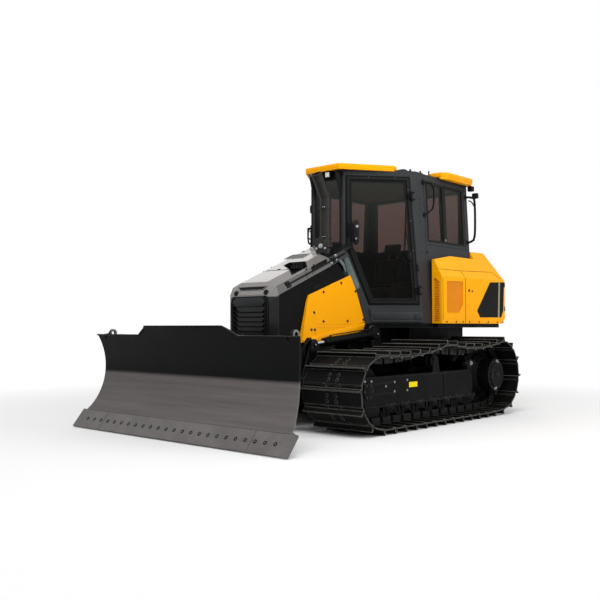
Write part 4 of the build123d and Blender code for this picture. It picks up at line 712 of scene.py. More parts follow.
class DOZER_OT_undercarriage(Step, bpy.types.Operator):
    """Add the track frames' bolts, covers, guards and the final drives' fittings"""

    bl_idname = "dozer.undercarriage"
    bl_label = "Undercarriage fittings"

    def build(self):
        wall = TRACK_X + 0.18       # outer face of the track frame
        side = Shape()
        # recoil cover with its two pressed lines, the seam further back, and the post under the bracket
        side.blocks([(wall, -1.30, 0.385, wall + 0.006, -0.80, 0.400),
                     (wall, -1.30, 0.497, wall + 0.006, -0.80, 0.510),
                     (wall, 0.225, 0.262, wall + 0.008, 0.255, 0.569),
                     (wall - 0.03, 0.79, 0.50, wall - 0.012, 0.89, 0.68)])
        # the frame's upper edge and the lower guard's long flange
        side.blocks([(wall - 0.01, -1.30, 0.556, wall + 0.008, 0.75, 0.574),
                     (wall - 0.02, -1.06, 0.255, wall + 0.018, 0.77, 0.275)], size=0.004)
        # the lower guard's front block, and the diamond bracket over the rear of the frame
        side.plate([(-1.336, 0.268), (-1.29, 0.165), (-1.05, 0.165), (-1.04, 0.268)],
                   sideways(wall - 0.03), 0.036, size=0.004)
        side.plate([(0.69, 0.655), (0.84, 0.702), (0.975, 0.648), (0.84, 0.596)],
                   sideways(wall - 0.02), 0.022, size=0.004)
        spots = [(-1.285, 0.533), (-1.174, 0.531), (-1.269, 0.452), (-1.175, 0.452), (-0.92, 0.468),
                 (-0.764, 0.504), (-0.765, 0.405), (-0.528, 0.515), (-0.529, 0.405)]
        side.bolts([(wall, *spot) for spot in spots], OUT, 0.015, 1)
        side.bolt((wall + 0.002, 0.84, 0.65), OUT, 0.03, 1)
        # blank yellow plate
        side.block((wall, -0.494, 0.433), (wall + 0.004, -0.334, 0.490), size=0.0015, paint=2)
        # roller end caps and retaining bolts below the frame
        for i in range(7):
            station = 0.84 - 0.28 * i
            side.lathe([(0, 0.046), (0.012, 0.044), (0.020, 0.030), (0.022, 0)],
                       (wall - 0.004, station, 0.241), sides=20)
            side.bolts([(wall, station + shift, 0.272) for shift in (-0.062, 0.062)], OUT, 0.022, 3)
        # carrier roller's outer cap
        side.lathe([(-0.03, 0.078), (0.0, 0.078), (0.010, 0.068), (0.012, 0.030), (0.018, 0.028), (0.020, 0)],
                   (TRACK_X + 0.155, *CARRIER[:2]), sides=28)
        # toothed chain guide under the frame
        for i in range(26):
            station = -0.95 + i * 0.068
            side.block((wall - 0.028, station, 0.185), (wall - 0.010, station + 0.034, 0.262))
        # idler's hub with its bolts
        side.lathe([(0, 0.085), (0.014, 0.082), (0.022, 0.055), (0.024, 0)], (wall, *IDLER[:2]), sides=28)
        side.bolt_circle((wall + 0.014, *IDLER[:2]), 0.066, 6, 0.014, 3)
        # guard between the hull and the chain, ahead of the final drive
        side.block((0.365, 1.12, 0.47), (0.548, 1.62, 0.70), size=0.012)
        side.mirror()
        side.piece("frame_fittings", "machine", "chassis_black", "zinc_plate", "lemon_enamel", "black_oxide",
                   slot="undercarriage_paint")

        drive = Shape()
        centre = SPROCKET[:2]
        drive.bolt_circle((TRACK_X + 0.069, *centre), 0.232, 24, 0.02, 1, turn=0.5)
        drive.bolt_circle((1.258, *centre), 0.177, 12, 0.015, 1)
        drive.bolts([(1.262, 1.30, 0.655), (1.262, 1.255, 0.335)], OUT, 0.03, 2)
        drive.lathe([(0, 0.05), (0.008, 0.048), (0.010, 0.02), (0.016, 0.018), (0.018, 0)],
                    (1.285, *centre), sides=24)
        drive.mirror()
        drive.piece("drive_fittings", "machine", "chassis_black", "black_oxide", "zinc_plate",
                    slot="undercarriage_paint")


# ---------------------------------------------------------------- blade
EDGE_TOP = (-2.767, 0.19)
EDGE_TIP = (-2.905, 0.018)
EDGE_RUN = Vector((0, EDGE_TIP[0] - EDGE_TOP[0], EDGE_TIP[1] - EDGE_TOP[1])).normalized()
EDGE_OUT = Vector((0, EDGE_RUN.z, -EDGE_RUN.y))
BOLT_ROW = 2.79                 # from the first bolt of the edge to the last
EYE_HOLE = (-2.552, 1.020)      # station and height of the lifting eyes' holes
CAD_EYE_HOLE = (-2.612, 1.040)  # the same in the CAD moldboard
EYE_SCALE = 0.76
LIFT_PIN = (-1.370, 0.900)      # station and height where the lift cylinders hold the C-frame


def circle_through(a, b, c):
    """Station, height and radius of the circle through three points."""
    (ay, az), (by, bz), (cy, cz) = a, b, c
    d = 2 * (ay * (bz - cz) + by * (cz - az) + cy * (az - bz))
    a2, b2, c2 = ay * ay + az * az, by * by + bz * bz, cy * cy + cz * cz
    y = (a2 * (bz - cz) + b2 * (cz - az) + c2 * (az - bz)) / d
    z = (a2 * (cy - by) + b2 * (ay - cy) + c2 * (by - ay)) / d
    return y, z, hypot(ay - y, az - z)


# the moldboard's face: the arc through its foot, its depth and its top
MOULD = circle_through(EDGE_TOP, (-2.546, 0.600), (-2.724, 1.102))


def on_edge(x, run, lift=0.0):
    """A point a distance down the cutting edge's face and a lift in front of it."""
    return Vector((x, *EDGE_TOP)) + EDGE_RUN * run + EDGE_OUT * lift


def mould_y(height):
    """Station of the moldboard's curved face at a height."""
    return MOULD[0] + (MOULD[2] ** 2 - (height - MOULD[1]) ** 2) ** 0.5


class DOZER_OT_blade(Step, bpy.types.Operator):
    """Add the cutting edge's bolts and joints, the blade's welds and its sheet"""

    bl_idname = "dozer.blade"
    bl_label = "Blade fittings"

    def build(self):
        fit = Shape()
        count = sizes().edge_bolts
        for i in range(count):
            at = on_edge((i - (count - 1) / 2) * BOLT_ROW / (count - 1), 0.112)
            fit.lathe([(-0.004, 0.021), (0.0016, 0.020), (0.0016, 0.010), (-0.001, 0.009), (-0.001, 0)],
                      at, EDGE_OUT, sides=16, paint=1)
            fit.bar(at - EDGE_OUT * 0.004, at + EDGE_OUT * 0.0025, 0.009, 0.008, sides=6, size=0)
        # the joints between the middle edge and the end bits, as fine dark grooves
        for x in (-1.105, 1.105):
            fit.wire(on_edge(x, 0.006, 0.0012), on_edge(x, 0.214, 0.0012), 0.0011, 1)
        fit.piece("edge_bolts", "blade", "edge_steel", "gasket_rubber", slot="blade_steel")

        weld = Shape()
        for x in (-1.180, -0.760, -0.400, -0.130, 0.110, 0.460, 0.740, 1.160):      # the back's ribs
            for edge in (x - 0.004, x + 0.024):
                weld.pipe([(edge, -2.52, 0.63), (edge, -2.545, 0.80), (edge, -2.60, 0.96)], 0.006, bend=0.08,
                          sides=1)
        # top edge bar along the raised middle and the wings
        line = both_sides([(-1.49, 1.010), (-0.746, 1.010), (-0.577, 1.102)])
        rim = [Vector((x, -2.706 + (1.102 - z) * 0.45, z - 0.008)) for x, z in line]
        for a, b in zip(rim, rim[1:]):
            weld.wire(a, b, 0.008, sides=10)
        weld.piece("blade_welds", "blade", "black_enamel", slot="blade_paint")
        self.sheet()

    @staticmethod
    def sheet():
        """The moldboard with a shallower curve, its ends cut in at the waist, and its lifting eyes behind
        the sheet."""
        sheet = Shape()
        sheet.join(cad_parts["moldboard"].data, Matrix.Translation((0, -TRACK_Y, 0)))
        for v in sheet.bm.verts:
            x, y, height = v.co
            waist = max(0.0, 1 - ((height - 0.62) / 0.45) ** 2)
            in_sheet = waist > 0 and y < mould_y(height) + 0.026
            if abs(x) > 1.50:
                v.co.x = (1.518 - 0.078 * waist) * (1 if x > 0 else -1)
            elif 1.33 < abs(x) < 1.39 and height > 0.88:        # a lifting eye
                if height > 1.011:
                    v.co.y = EYE_HOLE[0] + (y - CAD_EYE_HOLE[0]) * EYE_SCALE
                    v.co.z = EYE_HOLE[1] + (height - CAD_EYE_HOLE[1]) * EYE_SCALE
                elif y > mould_y(height) + 0.028:
                    v.co.y += 0.06 * min(1.0, (height - 0.88) / 0.08)
                else:
                    v.co.y = max(y, mould_y(height) + 0.001)
            if in_sheet:
                v.co.y -= 0.047 * waist
        sheet.piece("blade_sheet", "blade", "blade_enamel_and_sky_reflection", stands_for=["moldboard"], slot="blade_paint")


# ---------------------------------------------------------------- hood
CREST = (-1.71, 1.515)
SLOPE = radians(22.4)
CROWN = 0.05
CROWN_HALF = 0.20
HOOD_HALF = 0.33
BEVEL = (0.045, 0.092)          # how far the hood's bevel runs out and down
NOSE = -1.795
HOOD_UP = Vector((0, -sin(SLOPE), cos(SLOPE)))
HOOD_ALONG = Vector((0, cos(SLOPE), sin(SLOPE)))
BEVEL_OUT = Vector((BEVEL[1], -BEVEL[0] * sin(SLOPE), BEVEL[0] * cos(SLOPE))).normalized()
PANEL_OUT = Vector((1, 0, 0.055)).normalized()
PANEL_SEAM = -1.199             # station of the upright line pressed into the side panel


def hood_point(x, station, lift=0.0):
    """A point on the hood's outer skin, lifted off it."""
    rise = CROWN if abs(x) <= CROWN_HALF else CROWN * (HOOD_HALF - abs(x)) / (HOOD_HALF - CROWN_HALF)
    if abs(x) > HOOD_HALF:
        rise = (HOOD_HALF - abs(x)) / BEVEL[0] * BEVEL[1]
    return Vector((x, station, CREST[1] + (station - CREST[0]) * tan(SLOPE) + rise + lift))


def panel_point(station, height):
    """A point on the leaning yellow side panel."""
    return Vector((0.420 - (height - 0.918) * 0.0548, station, height))


class DOZER_OT_hood(Step, bpy.types.Operator):
    """Add the hood's seams, latches, vents and rail, the bolts of its side panels and the grille"""

    bl_idname = "dozer.hood"
    bl_label = "Hood fittings"

    def build(self):
        top = Shape()
        # the seam across the hood and the round latches
        top.wire(hood_point(-0.19, -1.345, 0.001), hood_point(0.19, -1.345, 0.001), 0.0022, 1)
        for at, radius, lip in ((hood_point(0, -1.325), 0.022, 0.014),
                                (hood_point(-0.19, -0.70), 0.017, 0.010)):
            top.lathe([(-0.002, radius), (0.003, radius - 0.001), (0.004, lip), (0.001, lip - 0.002),
                       (0.001, 0)], at, HOOD_UP, sides=20, paint=1)
        # pressed strip near the hood's rear: a dark tray with a rim
        spot = Matrix.Translation(hood_point(-0.12, -0.8775)) @ axes(OUT, HOOD_ALONG, HOOD_UP)
        x, y = 0.15, 0.0775 / cos(SLOPE)
        top.framed([(-x, -y), (x, -y), (x - 0.02, y), (-x, y)],
                   [(-x + 0.012, -y + 0.012), (x - 0.014, -y + 0.012), (x - 0.03, y - 0.012),
                    (-x + 0.012, y - 0.012)], raised(spot, -0.002), 0.006, 0.003)
        # closed duct behind the intake's mouth, with its bars
        top.block((-0.062, -1.072, 1.722), (0.190, -1.030, 1.814), size=0.002, paint=1)
        for i in range(9):
            x = -0.030 + i * 0.024
            top.wire((x, -1.079, 1.746), (x, -1.079, 1.808), 0.003)
        top.piece("hood_details", "machine", "hood_enamel_painted_sheen", "black_enamel", slot="hood_grey")

        # on the nose's slanted front: a slot and two round knobs
        front = Shape()
        tilt = Vector((0, -0.90, 0.42)).normalized()
        slot = [(-0.165, -0.014), (0.165, -0.014), (0.205, 0.018), (-0.205, 0.018)]
        front.framed([(x * 1.08, y * 1.35) for x, y in slot], slot,
                     raised(facing((0, -1.742, 1.497), tilt), -0.004), 0.007, 0.005)
        for x in (-0.225, 0.225):
            front.lathe([(-0.004, 0.030), (0.006, 0.029), (0.010, 0.022), (0.006, 0.016), (0.006, 0)],
                        (x, -1.757, 1.452), tilt, sides=24, paint=2)
        front.piece("nose_details", "machine", "hood_enamel_painted_sheen", "black_enamel", "chassis_black",
                    slot="hood_grey")
        self.sides()
        self.grille()

    @staticmethod
    def sides():
        """What sits on the hood's bevels, its black sides and the yellow panels."""
        side = Shape()
        # grooved rail let into the bevel, with its end brackets
        start, rail, end = (hood_point(x, s) + BEVEL_OUT * lift for x, s, lift in (
            (0.350, -1.545, 0.004), (0.352, -1.54, 0.012), (0.352, -0.60, 0.012)))
        side.pipe([start, rail + HOOD_ALONG * 0.05, end], 0.0085, bend=0.04, paint=1)
        lay = axes(HOOD_ALONG, BEVEL_OUT.cross(HOOD_ALONG), BEVEL_OUT)
        for station, long, wide in ((-1.555, 0.035, 0.036), (-0.80, 0.030, 0.034)):
            spot = Matrix.Translation(hood_point(0.352, station)) @ lay
            side.plate(oblong(long, wide), spot, 0.006, paint=1)
            side.bolts([spot @ Vector((0, y, 0.006)) for y in (-0.026, 0.026)], BEVEL_OUT, 0.014, 2)
        # vent panel on the bevel behind the intake, and the seams each side of the rail
        spot = Matrix.Translation(hood_point(0.349, -1.02) + BEVEL_OUT * 0.001) @ lay
        side.plate([(-0.15, 0.006), (0.13, 0.006), (0.15, 0.042), (-0.13, 0.042)], spot, 0.004, size=0.001,
                   paint=1)
        for i in range(14):
            x = -0.125 + i * 0.019
            side.plate([(x, 0.010), (x + 0.008, 0.010), (x + 0.015, 0.038), (x + 0.007, 0.038)],
                       raised(spot, 0.004), 0.003, size=0, paint=1)
        for station in (-1.26, -1.16):
            a, b = (hood_point(x, station) + BEVEL_OUT * 0.001 for x in (0.331, 0.374))
            side.wire(a, b, 0.002, 1)
        side.bolts([hood_point(0.362, -0.84), hood_point(0.358, -0.755), hood_point(0.336, -0.74)],
                   BEVEL_OUT, 0.018, 3)
        side.bolts([hood_point(0.325, -1.23), hood_point(0.325, -1.10)], HOOD_UP, 0.02, 2)
        # bolts and pressed lines of the yellow side panel
        spots = [(-1.015, 1.473), (-0.695, 1.585), (-1.188, 1.244), (-1.037, 1.149), (-0.61, 1.155),
                 (-1.245, 1.057), (-1.189, 1.057), (-0.44, 1.500), (-0.315, 1.172)]
        side.bolts([panel_point(*spot) for spot in spots], PANEL_OUT, 0.019, 2)
        side.wire(panel_point(PANEL_SEAM, 1.41), panel_point(PANEL_SEAM, 0.93), 0.0024, 4)
        side.wire(panel_point(PANEL_SEAM, 1.121), panel_point(-0.53, 1.121), 0.0022, 4)
        side.ring([(-0.33, -0.055), (0.36, -0.055), (0.33, 0.055), (-0.33, 0.055)],
                  [(-0.322, -0.048), (0.348, -0.048), (0.322, 0.048), (-0.322, 0.048)],
                  facing(panel_point(-0.85, 1.04), PANEL_OUT), 0.003, size=0.001, paint=4)
        # bare black panel above the yellow one
        side.plate([(-1.16, 1.475), (-0.80, 1.610), (-0.77, 1.665), (-1.14, 1.530)], sideways(0.3685), 0.004,
                   size=0.0015, paint=1)
        # glazed strip between the black side and the door post: an opaque plate, its colour a painted
        # reflection
        side.plate([(-0.690, 1.860), (-0.630, 1.812), (-0.590, 1.735), (-0.605, 1.712), (-0.655, 1.783),
                    (-0.738, 1.846)], sideways(0.3745), 0.003, size=0, paint=5)
        # skirt of the yellow panel behind the lift cylinder
        side.plate([(-1.385, 0.950), (-1.365, 0.848), (-1.180, 0.880), (-0.335, 1.048), (-0.296, 1.136),
                    (-0.330, 1.136)], sideways(0.420), 0.004, size=0.001, paint=4)
        side.mirror()
        side.piece("hood_side_fittings", "machine", "hood_enamel_painted_sheen", "black_enamel", "black_oxide",
                   "zinc_plate", "yellow_enamel", "quarter_glass_painted_reflection", slot="black_paint")

    @staticmethod
    def grille():
        """The grille: a frame with its blank badge, bars with turned-up ends and a mesh behind them."""
        face = facing((0, NOSE, 0), FORE)
        bars = Shape()
        bars.ring(both_sides([(0.268, 0.905), (0.280, 1.335), (0.252, 1.412)]),
                  both_sides([(0.222, 0.925), (0.240, 1.285), (0.226, 1.300)]), raised(face, -0.030), 0.026,
                  size=0.006)
        # the blank badge panel: six-sided, slightly raised, with a rim
        badge = both_sides([(0.198, 1.306), (0.246, 1.350), (0.205, 1.400)])
        rim = [(x * 1.04, 1.353 + (z - 1.353) * 1.14) for x, z in badge]
        bars.framed(rim, badge, raised(face, -0.006), 0.010, 0.007, size=0.003, floor_size=0.002, paint=2)
        for i in range(sizes().grille_bars):
            z = 1.250 - i * 0.0505
            bars.plate(both_sides([(0.198, z - 0.015), (0.240, z + 0.019), (0.240, z + 0.034), (0.198, z)]),
                       raised(face, -0.022), 0.018)
        for i in range(46):
            x = -0.225 + i * 0.010
            bars.wire((x, NOSE + 0.034, 0.92), (x, NOSE + 0.034, 1.30), 0.0012, 1, sides=4)
        for i in range(38):
            z = 0.925 + i * 0.010
            bars.wire((-0.23, NOSE + 0.036, z), (0.23, NOSE + 0.036, z), 0.0012, 1, sides=4)
        bars.piece("grille_bars", "machine", "black_enamel", "fin_aluminium", "cab_powder_coat",
                   stands_for=["grille"], slot="black_paint")


class DOZER_OT_stack(Step, bpy.types.Operator):
    """Add the exhaust's band clamps, its rolled mouth and its foot bracket"""

    bl_idname = "dozer.stack"
    bl_label = "Exhaust"

    def build(self):
        stack = Shape()
        x, y = 0.20, -0.755
        for z in (2.10, 2.44):
            stack.lathe([(0, 0.0625), (0, 0.068), (0.028, 0.068), (0.028, 0.0625)], (x, y, z), UP, sides=40)
            stack.block((x + 0.03, y - 0.088, z + 0.004), (x + 0.045, y - 0.055, z + 0.024))
            stack.wire((x + 0.02, y - 0.08, z + 0.014), (x + 0.06, y - 0.08, z + 0.014), 0.005, 1, sides=8)
        mouth = Vector((x, -0.915, 2.83))
        stack.lathe([(-0.03, 0.0625), (-0.012, 0.068), (0.0, 0.066), (0.001, 0.058), (-0.03, 0.0545)],
                    mouth, mouth - Vector((x, y, 2.57)), sides=40)
        # foot bracket: a folded plate in front of the stack with three bolts
        place = facing((x, -0.835, 2.0), (0.25, -0.95, 0.1))
        stack.plate(both_sides([(-0.075, 0.10), (-0.075, 0.02), (-0.052, -0.075)]), place, 0.008)
        for u, v, across in ((0.0, 0.010, 0.032), (-0.052, -0.018, 0.016), (0.056, -0.018, 0.016)):
            stack.bolt(place @ Vector((u, v, 0.008)), place.to_3x3() @ UP, across, 1)
        stack.piece("stack_fittings", "machine", "stack_steel", "zinc_plate", slot="black_paint")


# ---------------------------------------------------------------- cab
WINDSCREEN = -0.474             # station of the cab's front
REAR_WALL = 1.44                # station of its rear
SIDE_LEAN = 0.05                # how far its sides lean in over a metre
PANE_LOW, PANE_TOP = 2.124, 2.856       # edges of the gaskets round the side panes
DOOR_ORIGIN = Vector((0.24, WINDSCREEN, 0))
DOOR_RUN = Vector((0.62, 0.726, 0)).normalized()
DOOR_OUT = Vector((DOOR_RUN.y, -DOOR_RUN.x, 0))
DOOR_FACE = Matrix.Translation(DOOR_ORIGIN) @ axes(DOOR_RUN, UP, DOOR_OUT)


def door_point(along, height, out=0.0):
    """A point on the plane of the left door."""
    return DOOR_FACE @ Vector((along, height, out))


def cab_side(height):
    """Half the cab's width at a height: its sides lean in."""
    return 0.860 - SIDE_LEAN * (height - 1.135)


SIDE_OUT = Vector((1, 0, SIDE_LEAN)).normalized()
SIDE_WALL = Matrix.Translation((cab_side(0), 0, 0)) @ axes(AFT, SIDE_OUT.cross(AFT), SIDE_OUT)


def door_edge(height):
    """Where the door ends at the side post, along its plane."""
    return (cab_side(height) - 0.24) / DOOR_RUN.x - 0.019


def moved_in(points, inset):
    """A convex outline, counter-clockwise, with each edge moved inwards."""
    lines = []
    for (ax, ay), (bx, by) in zip(points, points[1:] + points[:1]):
        length = hypot(bx - ax, by - ay)
        nx, ny = (ay - by) / length, (bx - ax) / length
        lines.append((nx, ny, nx * ax + ny * ay + inset))
    corners = []
    for (a, b, c), (d, e, f) in zip(lines[-1:] + lines[:-1], lines):
        corners.append(((c * e - b * f) / (a * e - b * d), (a * f - c * d) / (a * e - b * d)))
    return corners


def door_line(inset):
    """The door's five-sided outline, moved inwards."""
    return moved_in([(0.026, 2.052), (0.300, 1.345), (door_edge(1.345), 1.345), (door_edge(2.872), 2.872),
                     (0.026, 2.872)], inset)


def side_face(station, height, out=0.0):
    """A point on the cab's leaning left side."""
    return Vector((cab_side(height) + out, station, height))


def on_side(points):
    """(station, height) points in the leaning side's own plane."""
    return [(station, height * hypot(1, SIDE_LEAN)) for station, height in points]


class DOZER_OT_doors(Step, bpy.types.Operator):
    """Trim both doors: gaskets, handle, lock, wiper and bolts"""

    bl_idname = "dozer.doors"
    bl_label = "Doors"

    def build(self):
        for word in ("left", "right"):
            trim = self.trim()
            if word == "right":
                trim.flip()
            trim.piece(f"door_trim_{word}", f"door_{word}", "gasket_rubber", "cab_powder_coat", "zinc_plate",
                       "abs_plastic", slot="black_plastic")

    @staticmethod
    def trim():
        """What the left door carries."""
        trim = Shape()
        # glazing gasket, raised inner frame and the step round it
        trim.ring(door_line(0.056), door_line(0.078), raised(DOOR_FACE, -0.014), 0.020, size=0.003)
        trim.ring(door_line(0.016), door_line(0.050), raised(DOOR_FACE, 0.006), 0.010, size=0.004, paint=3)
        trim.ring(door_line(0.006), door_line(0.010), raised(DOOR_FACE, 0.004), 0.006, size=0.001)
        # handle plate with its key lock, behind the bow
        trim.plate([(0.095, 2.075), (0.150, 2.045), (0.180, 2.075), (0.186, 2.300), (0.160, 2.345),
                    (0.112, 2.330), (0.098, 2.290)], raised(DOOR_FACE, 0.004), 0.024, size=0.008, paint=3)
        trim.bolt(door_point(0.158, 2.267, 0.027), DOOR_OUT, 0.020, 2)
        trim.lathe([(0, 0.014), (0.006, 0.013), (0.007, 0.006), (0.004, 0.005), (0.004, 0)],
                   door_point(0.146, 2.120, 0.028), DOOR_OUT, sides=20, paint=2)
        # the handle's bow, the wiper's arm and the washer pipe along the lower glass
        # columns: radius, bend, then the points
        for radius, bend, *route in (
                (0.010, 0.02, (0.125, 2.10, 0.02), (0.120, 2.11, 0.055), (0.120, 2.29, 0.055),
                 (0.125, 2.30, 0.02)),
                (0.007, 0.05, (0.79, 1.93, 0.03), (0.772, 2.05, 0.034), (0.745, 2.25, 0.02)),
                (0.006, 0.04, (0.715, 1.90, -0.004), (0.745, 1.858, -0.002), (0.82, 1.838, 0.0),
                 (0.895, 1.824, 0.012))):
            trim.pipe([door_point(*p) for p in route], radius, bend, paint=3)
        # the wiper's motor cover and blade
        trim.box_round(door_point(0.79, 1.93), (0.03, 0.03, 0.05), 0.012, 3)
        trim.pipe([door_point(0.735, 1.99, 0.006), door_point(0.755, 2.51, 0.006)], 0.010)
        # bolts of the frame, and the catch
        for along, height in ((0.852, 2.711), (0.875, 2.343), (0.890, 1.990), (0.900, 1.560),
                              (0.300, 2.852), (0.620, 2.852)):
            trim.bolt(door_point(min(along, door_edge(height) - 0.035), height, 0.015), DOOR_OUT, 0.013, 1)
        trim.box_round(door_point(0.905, 1.79, 0.018), (0.02, 0.02, 0.035), 0.006, 1)
        return trim


class DOZER_OT_cab(Step, bpy.types.Operator):
    """Trim the cab: gaskets, window bars, bolts, the sill's cover, the roof lining and the wipers"""

    bl_idname = "dozer.cab"
    bl_label = "Cab trim"

    def build(self):
        trim = Shape()
        # side windows: gaskets, sliding bar, the strip on the post between them, and latches
        for low, high in ((0.454, 0.846), (0.866, 1.316)):
            line = [(low, PANE_LOW), (high, PANE_LOW), (high, PANE_TOP), (low, PANE_TOP)]
            trim.ring(on_side(line), on_side(moved_in(line, 0.024)), raised(SIDE_WALL, -0.010), 0.016,
                      size=0.003)
        trim.block(side_face(0.812, 2.625, -0.024), side_face(0.830, 2.845, -0.010))
        trim.plate(on_side([(0.836, 2.126), (0.876, 2.126), (0.876, 2.854), (0.836, 2.854)]), SIDE_WALL,
                   0.004, size=0.001)
        trim.bolt(side_face(0.852, 2.168, 0.002), SIDE_OUT, 0.018, 3)
        trim.bolt(side_face(0.856, 2.40, -0.004), SIDE_OUT, 0.014, 3)
        # panel seam under the windows and down the posts
        for a, b, radius in (((0.435, 2.085), (1.43, 2.085), 0.002), ((0.405, 1.95), (0.405, 2.88), 0.002),
                             ((1.345, 2.10), (1.345, 2.88), 0.003)):
            trim.wire(side_face(*a, 0.001), side_face(*b, 0.001), radius)
        # flush plugs down the front post, and one bolt
        for spot in ((0.306, 2.621), (0.306, 2.566), (0.306, 2.511), (0.300, 2.35), (0.300, 1.98),
                     (0.300, 1.55)):
            trim.wire(side_face(*spot, -0.002), side_face(*spot, 0.0015), 0.010, sides=16)
        trim.bolt(side_face(0.425, 1.99), SIDE_OUT, 0.022, 2)
        # corner cap strip along the roof's edge
        trim.plate(on_side([(0.40, 2.868), (1.43, 2.868), (1.43, 2.898), (0.40, 2.898)]), SIDE_WALL, 0.010,
                   size=0.004, paint=1)
        # sill box cover with its square plate
        trim.plate([(0.350, 1.175), (door_edge(1.2) - 0.03, 1.175), (door_edge(1.25) - 0.03, 1.262),
                    (0.332, 1.262)], raised(DOOR_FACE, 0.024), 0.006, paint=1)
        trim.plate([(0.846, 1.182), (0.935, 1.182), (0.935, 1.255), (0.846, 1.255)],
                   raised(DOOR_FACE, 0.029), 0.008, size=0.003, paint=1)
        # quarter window in front of the door's slanted edge: an opaque plate, its colour a painted reflection
        trim.plate([(0.06, 1.68), (0.105, 1.56), (0.140, 1.52), (0.190, 1.545), (0.185, 1.585), (0.055, 1.90),
                    (-0.02, 1.96)], raised(DOOR_FACE, 0.0015), 0.004, size=0.001, paint=4)
        trim.mirror()
        trim.piece("cab_trim", "machine", "gasket_rubber", "cab_powder_coat", "black_oxide", "zinc_plate",
                   "quarter_glass_painted_reflection", slot="cab_paint")
        lining = Shape()
        lining.plate(both_sides([(0.20, -0.43), (0.735, 0.20), (0.735, 1.40)]), flat_at(2.862), 0.008,
                     size=0.003)
        lining.piece("headliner", "machine", "liner_felt", slot="black_plastic")
        self.front()
        self.rear()

    @staticmethod
    def gasket(trim, y, way, half, low, inset):
        """The gasket of an upright pane."""
        line = [(-half, low), (half, low), (half, PANE_TOP), (-half, PANE_TOP)]
        trim.ring(line, moved_in(line, inset), raised(facing((0, y, 0), way), -0.010), 0.016, size=0.003)

    def front(self):
        """Windscreen gasket and wiper, and the arms of the front brim."""
        front = Shape()
        y = WINDSCREEN
        self.gasket(front, y, FORE, 0.206, 2.064, 0.024)
        front.block((-0.05, y - 0.030, 2.035), (0.05, y + 0.002, 2.085), size=0.01, paint=1)
        front.pipe([(0.0, y - 0.035, 2.06), (0.015, y - 0.036, 2.25), (0.02, y - 0.022, 2.45)], 0.007,
                   paint=1)
        front.bar((0.02, y - 0.016, 2.20), (0.02, y - 0.016, 2.72), 0.009, sides=8)
        # bracket arms that carry the front brim
        for x in (-0.20, 0.20):
            front.plate([(y, 2.60), (-0.560, 2.86), (-0.560, 2.912), (y, 2.912)], sideways(x - 0.012), 0.024,
                        size=0.004, paint=1)
        front.piece("windscreen_trim", "machine", "gasket_rubber", "abs_plastic", slot="black_plastic")

    def rear(self):
        """Rear window gasket and its wiper."""
        rear = Shape()
        y = REAR_WALL
        self.gasket(rear, y, AFT, 0.686, PANE_LOW, 0.026)
        rear.block((-0.045, y - 0.002, 2.80), (0.045, y + 0.05, 2.865), size=0.012, paint=1)
        rear.pipe([(0, y + 0.045, 2.82), (-0.05, y + 0.045, 2.65), (-0.13, y + 0.02, 2.52)], 0.007, paint=1)
        rear.bar((-0.13, y + 0.014, 2.28), (-0.13, y + 0.014, 2.76), 0.009, sides=8)
        rear.piece("rear_window_trim", "machine", "gasket_rubber", "abs_plastic", slot="black_plastic")


